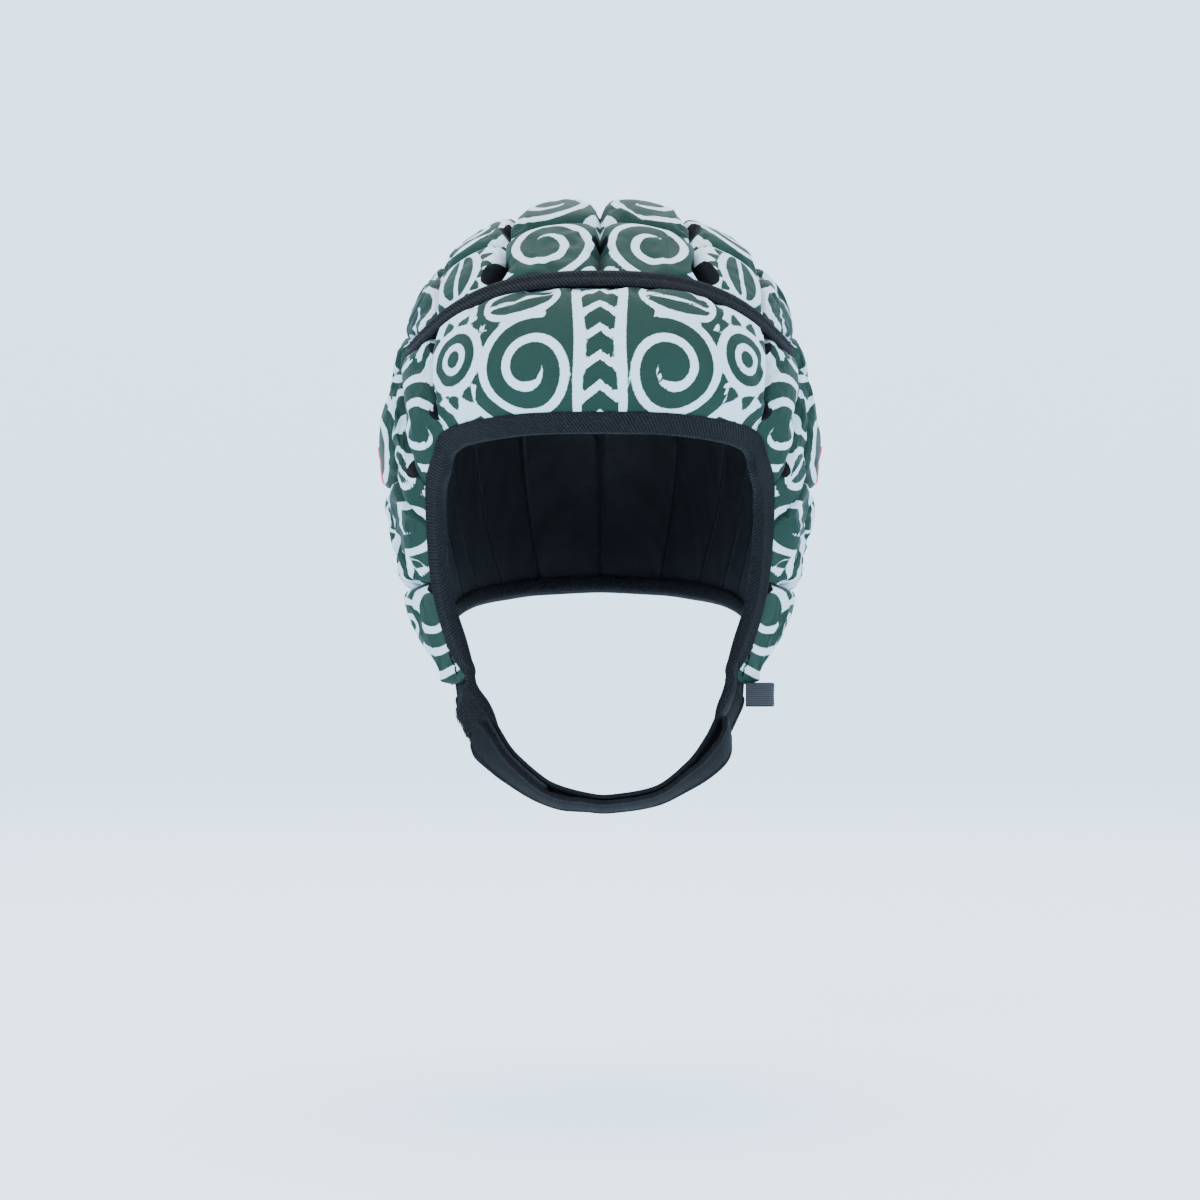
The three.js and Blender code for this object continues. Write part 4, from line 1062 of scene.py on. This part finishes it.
def make_stitches(name, row, inward, distance, height, pitch, lean):
    """A run of slanted stitches along a row of the net, each a short thread that dips at its ends."""
    columns = np.linspace(-LAST_COLUMN + 0.03, LAST_COLUMN - 0.03, 1200)
    path = net_points(np.full_like(columns, row), columns)
    lengths = run_lengths(path)
    starts = np.arange(1.0, lengths[-1] - pitch, pitch)
    points, faces = [], []
    sides, rings = 5, 6
    thread = 0.32
    for number, start in enumerate(starts):
        lead = lean if number % 2 else -lean
        for k in range(rings):
            f = k / (rings - 1)
            column = np.interp(start + pitch * 0.86 * f, lengths, columns)
            cell = cell_length(float(row), column, "column")
            place = row + inward * (distance + lead * (f - 0.5)) / cell
            lift = height + 0.3 * math.sin(math.pi * f) - 0.25
            points.append((place, column, lift, f))
    table = np.array(points)
    centre = surface_points(table[:, 0], table[:, 1], table[:, 2])
    up = surface_normals(table[:, 0], table[:, 1])
    runs = centre.reshape(-1, rings, 3)
    along = np.gradient(runs, axis=1).reshape(-1, 3)
    along /= np.linalg.norm(along, axis=-1, keepdims=True)
    side = np.cross(up, along)
    ring = []
    for k in range(sides):
        angle = 2 * math.pi * k / sides
        ring.append(centre + thread * (up * math.sin(angle) + side * math.cos(angle)))
    vertices = np.stack(ring, axis=1).reshape(-1, 3)
    for first in range(0, len(vertices), rings * sides):
        index = np.arange(rings * sides).reshape(rings, sides) + first
        following = np.roll(index, -1, axis=1)
        faces += np.stack([index[:-1], following[:-1], following[1:], index[1:]], axis=-1).reshape(-1, 4).tolist()
        faces += [index[0][::-1].tolist(), index[-1].tolist()]
    made = new_object(name, vertices, faces, TAPE)
    return trimmed(made)


def strap_line():
    """Points, turns, shares and the length of the chin strap's inner middle line."""
    knots = STRAP_ROUTE[:, :3] * (HEAD_HALF_WIDTH, -HEAD_FRONT, -JAW_DROP) + (0, 0, -CROWN_HEIGHT)
    beyond = np.vstack([2 * knots[0] - knots[1], knots, 2 * knots[-1] - knots[-2]])
    turns = STRAP_ROUTE[:, 3]
    points, turned = [], []
    for k in range(len(knots) - 1):
        for f in np.linspace(0, 1, 24, endpoint=k == len(knots) - 2):
            points.append(blend_four(*beyond[k : k + 4], f))
            turned.append(turns[k] + (turns[k + 1] - turns[k]) * f)
    points = np.array(points)
    lengths = run_lengths(points)
    shares = lengths / lengths[-1]
    tuck = STRAP_TUCK / lengths[-1]
    first = points[0] + (points[0] - points[1]) / np.linalg.norm(points[0] - points[1]) * STRAP_TUCK
    last = points[-1] + (points[-1] - points[-2]) / np.linalg.norm(points[-1] - points[-2]) * STRAP_TUCK
    points = np.vstack([first, points, last])
    turned = [turned[0], *turned, turned[-1]]
    return points, np.radians(turned), np.concatenate([[-tuck], shares, [1 + tuck]]), lengths[-1]


STRAP_POINTS, STRAP_TURNS, STRAP_SHARES, STRAP_LENGTH = strap_line()


def strap_frames(shares):
    """Middles, and the directions back across the strap and out of it, at shares of its route."""
    middle = np.stack([np.interp(shares, STRAP_SHARES, STRAP_POINTS[:, k]) for k in range(3)], axis=-1)
    turn = np.interp(shares, STRAP_SHARES, STRAP_TURNS)[:, None]
    ahead = np.stack([np.interp(shares + 0.002, STRAP_SHARES, STRAP_POINTS[:, k]) for k in range(3)], axis=-1)
    behind = np.stack([np.interp(shares - 0.002, STRAP_SHARES, STRAP_POINTS[:, k]) for k in range(3)], axis=-1)
    tangent = ahead - behind
    tangent /= np.linalg.norm(tangent, axis=-1, keepdims=True)
    back = np.array((0, 1, 0)) - tangent * tangent[:, 1:2]
    back /= np.linalg.norm(back, axis=-1, keepdims=True)
    side = back * np.cos(turn) - np.cross(tangent, back) * np.sin(turn)
    out = np.cross(side, tangent)
    return middle, side, out


def rounded_section(half, low, high, edge=0.7):
    """Section of a flat strap with rounded edges, and a sewn hem's valley near each edge."""
    thick = high - low
    r = min(edge, thick / 2)
    upper = [(half - r, high), (half - 2.2, high + 0.08), (half - 3.0, high - 0.28), (half - 3.8, high), (0, high + 0.08)]
    upper += [(-x, z) for x, z in upper[3::-1]]
    left = [(-half + 0.25 * r, high - 0.3 * r), (-half, (low + high) / 2), (-half + 0.25 * r, low + 0.3 * r)]
    lower = [(-half + r, low), (0, low), (half - r, low)]
    right = [(half - 0.25 * r, low + 0.3 * r), (half, (low + high) / 2), (half - 0.25 * r, high - 0.3 * r)]
    return np.array(upper + left + lower + right)


def make_strap(name, shares, section_at, material, shift=0):
    """A strap along its route, moved by a shift at each of the shares. section_at(share) lists its
    section as across and lift."""
    middle, side, out = strap_frames(shares)
    middle = middle + shift
    sections = np.array([section_at(share) for share in shares])
    rings = middle[:, None] + sections[..., :1] * side[:, None] + sections[..., 1:] * out[:, None]
    return sweep(name, rings, material, shares * STRAP_LENGTH, run_lengths(sections[len(shares) // 2]))


def flat_strap(name, first, last, lift_at, thickness, material, tip=0.0):
    """A flat strap between two shares of the route, rounded at its tips."""
    shares = np.linspace(first, last, max(40, int((last - first) * 260)))

    def section_at(share):
        low = lift_at(share)
        end = min(share - first, last - share) * STRAP_LENGTH
        half = STRAP_WIDTH / 2 - tip * max(0.0, 1 - end / 5) ** 2
        return rounded_section(half, low, low + thickness)

    return make_strap(name, shares, section_at, material)


# Lift of the outer strap over the jaw strap at shares of the route: over the loop tape, then bare,
# then standing off in a shallow bow before its end
OUTER_LIFT = np.array([
    (5 / 32, 5.6), (7 / 32, 4.0), (13 / 32, 4.0), (15 / 32, 2.3), (22 / 32, 2.4), (24.5 / 32, 4.4), (26 / 32, 5.4),
    (27 / 32, 4.8), (28 / 32, 2.2),
])
LOOP_TAPE_ENDS = (1 / 32, 12 / 32)


def outer_lift(share):
    """Lift of the outer strap, smoothed over its table."""
    near = [np.interp(share + shift, OUTER_LIFT[:, 0], OUTER_LIFT[:, 1]) for shift in (-0.015, -0.008, 0, 0.008, 0.015)]
    return float(np.mean(near))


def make_pile(count):
    """Small loops that stand on the loop tape."""
    rng = np.random.default_rng(11)
    shares = rng.uniform(LOOP_TAPE_ENDS[0] + 0.003, LOOP_TAPE_ENDS[1] - 0.003, count)
    across = rng.uniform(-STRAP_WIDTH / 2 - 0.2, STRAP_WIDTH / 2 + 0.2, count)
    middle, side, out = strap_frames(shares)
    along = np.cross(side, out)
    turn = rng.uniform(0, math.pi, count)[:, None]
    flat = along * np.cos(turn) + side * np.sin(turn)
    lean = rng.normal(0, 0.35, (count, 1))
    up = out + np.cross(flat, out) * lean
    top = JAW_STRAP_THICKNESS + STRAP_GAP + LOOP_TAPE_THICKNESS
    foot = middle + side * across[:, None] + out * (top - 0.15)
    radius = rng.uniform(0.45, 0.85, (count, 1))
    thread, bends, sides = 0.13, 6, 3
    across_loop = np.cross(flat, up)
    rings = []
    for k in range(bends):
        angle = math.pi * (k / (bends - 1) * 1.16 - 0.08)
        radial = -flat * math.cos(angle) + up * math.sin(angle)
        centre = foot + radial * radius * (1, 1, 1) + up * 0.1
        for n in range(sides):
            spin = 2 * math.pi * n / sides
            rings.append(centre + thread * (radial * math.cos(spin) + across_loop * math.sin(spin)))
    vertices = np.stack(rings, axis=1).reshape(-1, 3)
    index = np.arange(bends * sides).reshape(bends, sides)
    following = np.roll(index, -1, axis=1)
    one = np.stack([index[:-1], following[:-1], following[1:], index[1:]], axis=-1).reshape(-1, 4)
    faces = (one[None] + (np.arange(count) * bends * sides)[:, None, None]).reshape(-1, 4)
    return trimmed(new_object("loop_tape_pile", vertices, faces, PILE))


def make_edge_tape(name, side, shares, outer_reach):
    """The ribbed tape that runs on from the face binding's end, at the first of the shares, along
    the jaw strap's front edge."""
    front = -STRAP_WIDTH / 2
    top = JAW_STRAP_THICKNESS
    start = shares[0]

    def section_at(share):
        fade = min(1.0, abs(share - shares[-1]) / EDGE_TAPE_END)
        heart = np.array([front + 0.5, top / 2])
        reach = outer_reach
        section = np.array([
            (front + reach, top + 0.15), (front + reach, top + 0.5), (front + reach * 0.6, top + 1.15), (front, top + 1.2),
            (front - 0.9, top + 0.7), (front - 1.35, top / 2), (front - 0.9, -0.7), (front, -1.15),
            (front + 3.4, -1.1), (front + 4, -0.6), (front + 3.4, -0.2), (front - 0.2, -0.2),
            (front - 0.25, top + 0.15),
        ])
        return heart + (section - heart) * (0.2 + 0.8 * fade * (2 - fade))

    middle, across, out = strap_frames(np.array([start]))
    edge = middle[0] + across[0] * (front + 1.5) + out[0] * top / 2
    binding_end = surface_points(0.12, LAST_COLUMN * side * 0.985, np.array(2.2))
    away = np.clip(np.abs(shares - start) / 0.07, 0, 1)
    fall = 1 - away * away * (3 - 2 * away)
    made = make_strap(name, shares, section_at, TAPE, fall[:, None] * (binding_end - edge))
    return trimmed(made)


def make_straps():
    """The jaw strap, the tape and pile that the outer strap holds on, and the outer strap."""
    over_jaw = JAW_STRAP_THICKNESS + STRAP_GAP
    tuck = STRAP_TUCK / STRAP_LENGTH
    jaw = flat_strap("jaw_strap_inner", -tuck, 1 + tuck, lambda share: 0.0, JAW_STRAP_THICKNESS, WEBBING)
    finished(jaw, "jaw_strap")
    tape = flat_strap("loop_tape_face", *LOOP_TAPE_ENDS, lambda share: over_jaw, LOOP_TAPE_THICKNESS, PILE, tip=1.0)
    finished(tape, "loop_tape")
    make_pile(4200)
    chin = flat_strap("chin_strap_outer", 5 / 32, 28 / 32, outer_lift, CHIN_STRAP_THICKNESS, WEBBING, tip=3.2)
    finished(chin, "chin_strap")
    make_edge_tape("jaw_edge_right", -1, np.linspace(0.0, 0.2, 60), 1.2)
    make_edge_tape("jaw_edge_left", 1, np.linspace(1.0, 0.84, 60), 6.0)


def make_keeper():
    """The small loop of tape that stands out at the end of the jaw strap."""
    low, high = (np.array(corner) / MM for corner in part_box("strap_keeper"))
    outer_radius = (high[1] - low[1]) / 2
    straight = high[0] - low[0] - outer_radius
    middle_y, middle_z = (low[1] + high[1]) / 2, (low[2] + high[2]) / 2
    half = (high[2] - low[2]) / 2

    def loop_line(radius):
        bend = [(straight + radius * math.sin(a), radius * math.cos(a)) for a in np.linspace(0.12, math.pi - 0.12, 17)]
        return np.array([(0, radius), (straight / 2, radius * 1.02), (straight, radius), *bend, (straight, -radius), (0, -radius)])

    rings = []
    widths = ((-1, 0.3), (-0.88, 0), (0, 0.12), (0.88, 0), (1, 0.3))
    for outer, inner in zip(loop_line(outer_radius), loop_line(outer_radius - 1.1)):
        ring = []
        for line, other, order in ((outer, inner, widths), (inner, outer, widths[::-1])):
            for share, pinch in order:
                x, y = line + (other - line) * pinch
                ring.append((low[0] + x, middle_y + y, middle_z + share * half))
        rings.append(ring)
    rings = np.array(rings)
    made = sweep("keeper_loop", rings, KEEPER, run_lengths(rings[:, 2]), np.arange(10) * 2.2)
    return finished(made, "strap_keeper")


def make_side_patch(name, side, shell):
    """The thin red plate over the ear, with rounded corners, that lies on its pad."""
    rows, columns = np.meshgrid(np.linspace(-1, 1, 25), np.linspace(-1, 1, 25), indexing="ij")
    squeeze = 1 - 0.12 * (np.abs(rows) * np.abs(columns)) ** 3
    row = 2.3 + 0.3 * rows * squeeze
    column = (4.71 + 0.19 * columns * squeeze) * side
    places = np.stack([row.ravel(), column.ravel()], axis=-1)
    fabric, normal = sample(shell.outer, places), sample(shell.normal, places)
    points = np.concatenate([fabric + normal * 0.7, fabric - normal * 0.5])
    faces = np.concatenate([grid_faces(25, 25), grid_faces(25, 25, start=625), rim_faces(25, 25, 625)])
    made = new_object(name + "_film", points, faces, FILM)
    shade_by_angle(made, 40)
    return finished(made, name)


def add_light(name, place, size, power, colour):
    """A soft square light aimed at the middle of the cap."""
    light = bpy.data.lights.new(name, "AREA")
    light.size = size
    light.energy = power
    light.color = colour
    lamp = bpy.data.objects.new(name, light)
    lamp.location = place
    aim = Vector(CAP_MIDDLE) - Vector(place)
    lamp.rotation_euler = aim.to_track_quat("-Z", "Y").to_euler()
    bpy.context.scene.collection.objects.link(lamp)


CAP_MIDDLE = (0, 0, -0.12)
FLOOR_HEIGHT = -0.368
STAGE_RADIUS = 2.6
BACKDROP_BEND = 0.9
BACKDROP_TOP = 3.0
CAMERA_DISTANCE = 1.4
CAMERA_HEIGHT = -0.157
HALF_VIEW = 0.258


def make_stage():
    """Pale floor and backdrop, soft light, and the camera at the photograph's place."""
    profile = [(0.02, 0.0), (STAGE_RADIUS, 0.0)]
    for angle in np.linspace(0.05, math.pi / 2, 16):
        profile.append((STAGE_RADIUS + BACKDROP_BEND * math.sin(angle), BACKDROP_BEND * (1 - math.cos(angle))))
    profile.append((STAGE_RADIUS + BACKDROP_BEND, BACKDROP_TOP))
    sides = 72
    turns = np.arange(sides) * 2 * math.pi / sides
    rings = [[(reach * math.sin(a), reach * math.cos(a), FLOOR_HEIGHT + rise) for a in turns] for reach, rise in profile]
    index = np.arange(len(profile) * sides).reshape(len(profile), sides)
    following = np.roll(index, -1, axis=1)
    faces = np.stack([index[:-1], following[:-1], following[1:], index[1:]], axis=-1).reshape(-1, 4).tolist()
    faces.append(index[0].tolist())
    new_object("floor", np.array(rings).reshape(-1, 3) / MM, faces, stage_material())
    add_light("key_light", (-0.9, -1.7, 1.2), 1.5, 34, (1.0, 0.99, 0.97))
    add_light("fill_light", (1.5, -1.5, 0.5), 1.8, 20, (0.94, 0.97, 1.0))
    add_light("top_light", (0.0, 0.4, 1.6), 1.8, 22, (0.97, 0.99, 1.0))
    add_light("backdrop_light", (0.0, 0.7, 2.4), 2.6, 70, (0.97, 0.99, 1.0))
    world = bpy.data.worlds.new("studio")
    bpy.context.scene.world = world
    world.use_nodes = True
    world.node_tree.nodes["Background"].inputs["Color"].default_value = (0.87, 0.93, 0.98, 1)
    world.node_tree.nodes["Background"].inputs["Strength"].default_value = 0.8
    camera = bpy.data.cameras.new("camera")
    camera.sensor_width = 36
    camera.lens = camera.sensor_width / 2 / (HALF_VIEW / CAMERA_DISTANCE)
    holder = bpy.data.objects.new("camera", camera)
    holder.location = (0, -CAMERA_DISTANCE, CAMERA_HEIGHT)
    holder.rotation_euler = (math.radians(90), 0, 0)
    bpy.context.scene.collection.objects.link(holder)
    bpy.context.scene.camera = holder


shell = Shell()
vents = [(place[:2], oval_cutter(*place)) for place in both_sides(VENTS)]
ears = [(place[:2], oval_cutter(*place)) for place in both_sides([EAR])]
make_pads(shell, vents, ears)
make_lining(shell, ears)
for _, cutter in vents + ears:
    bpy.data.objects.remove(cutter)
make_binding("face_binding", 0)
make_binding("hem_binding", LAST_ROW)
make_band()
edge_height = float(edge_limit(BINDING_COVER)) + 0.3
make_stitches("face_stitches", 0, 1, BINDING_COVER - 0.4, edge_height, 2.6, 1.1)
make_stitches("hem_stitches", LAST_ROW, -1, BINDING_COVER - 0.4, edge_height, 2.6, 1.1)
make_straps()
make_keeper()
make_side_patch("side_patch_left", 1, shell)
make_side_patch("side_patch_right", -1, shell)
make_stage()
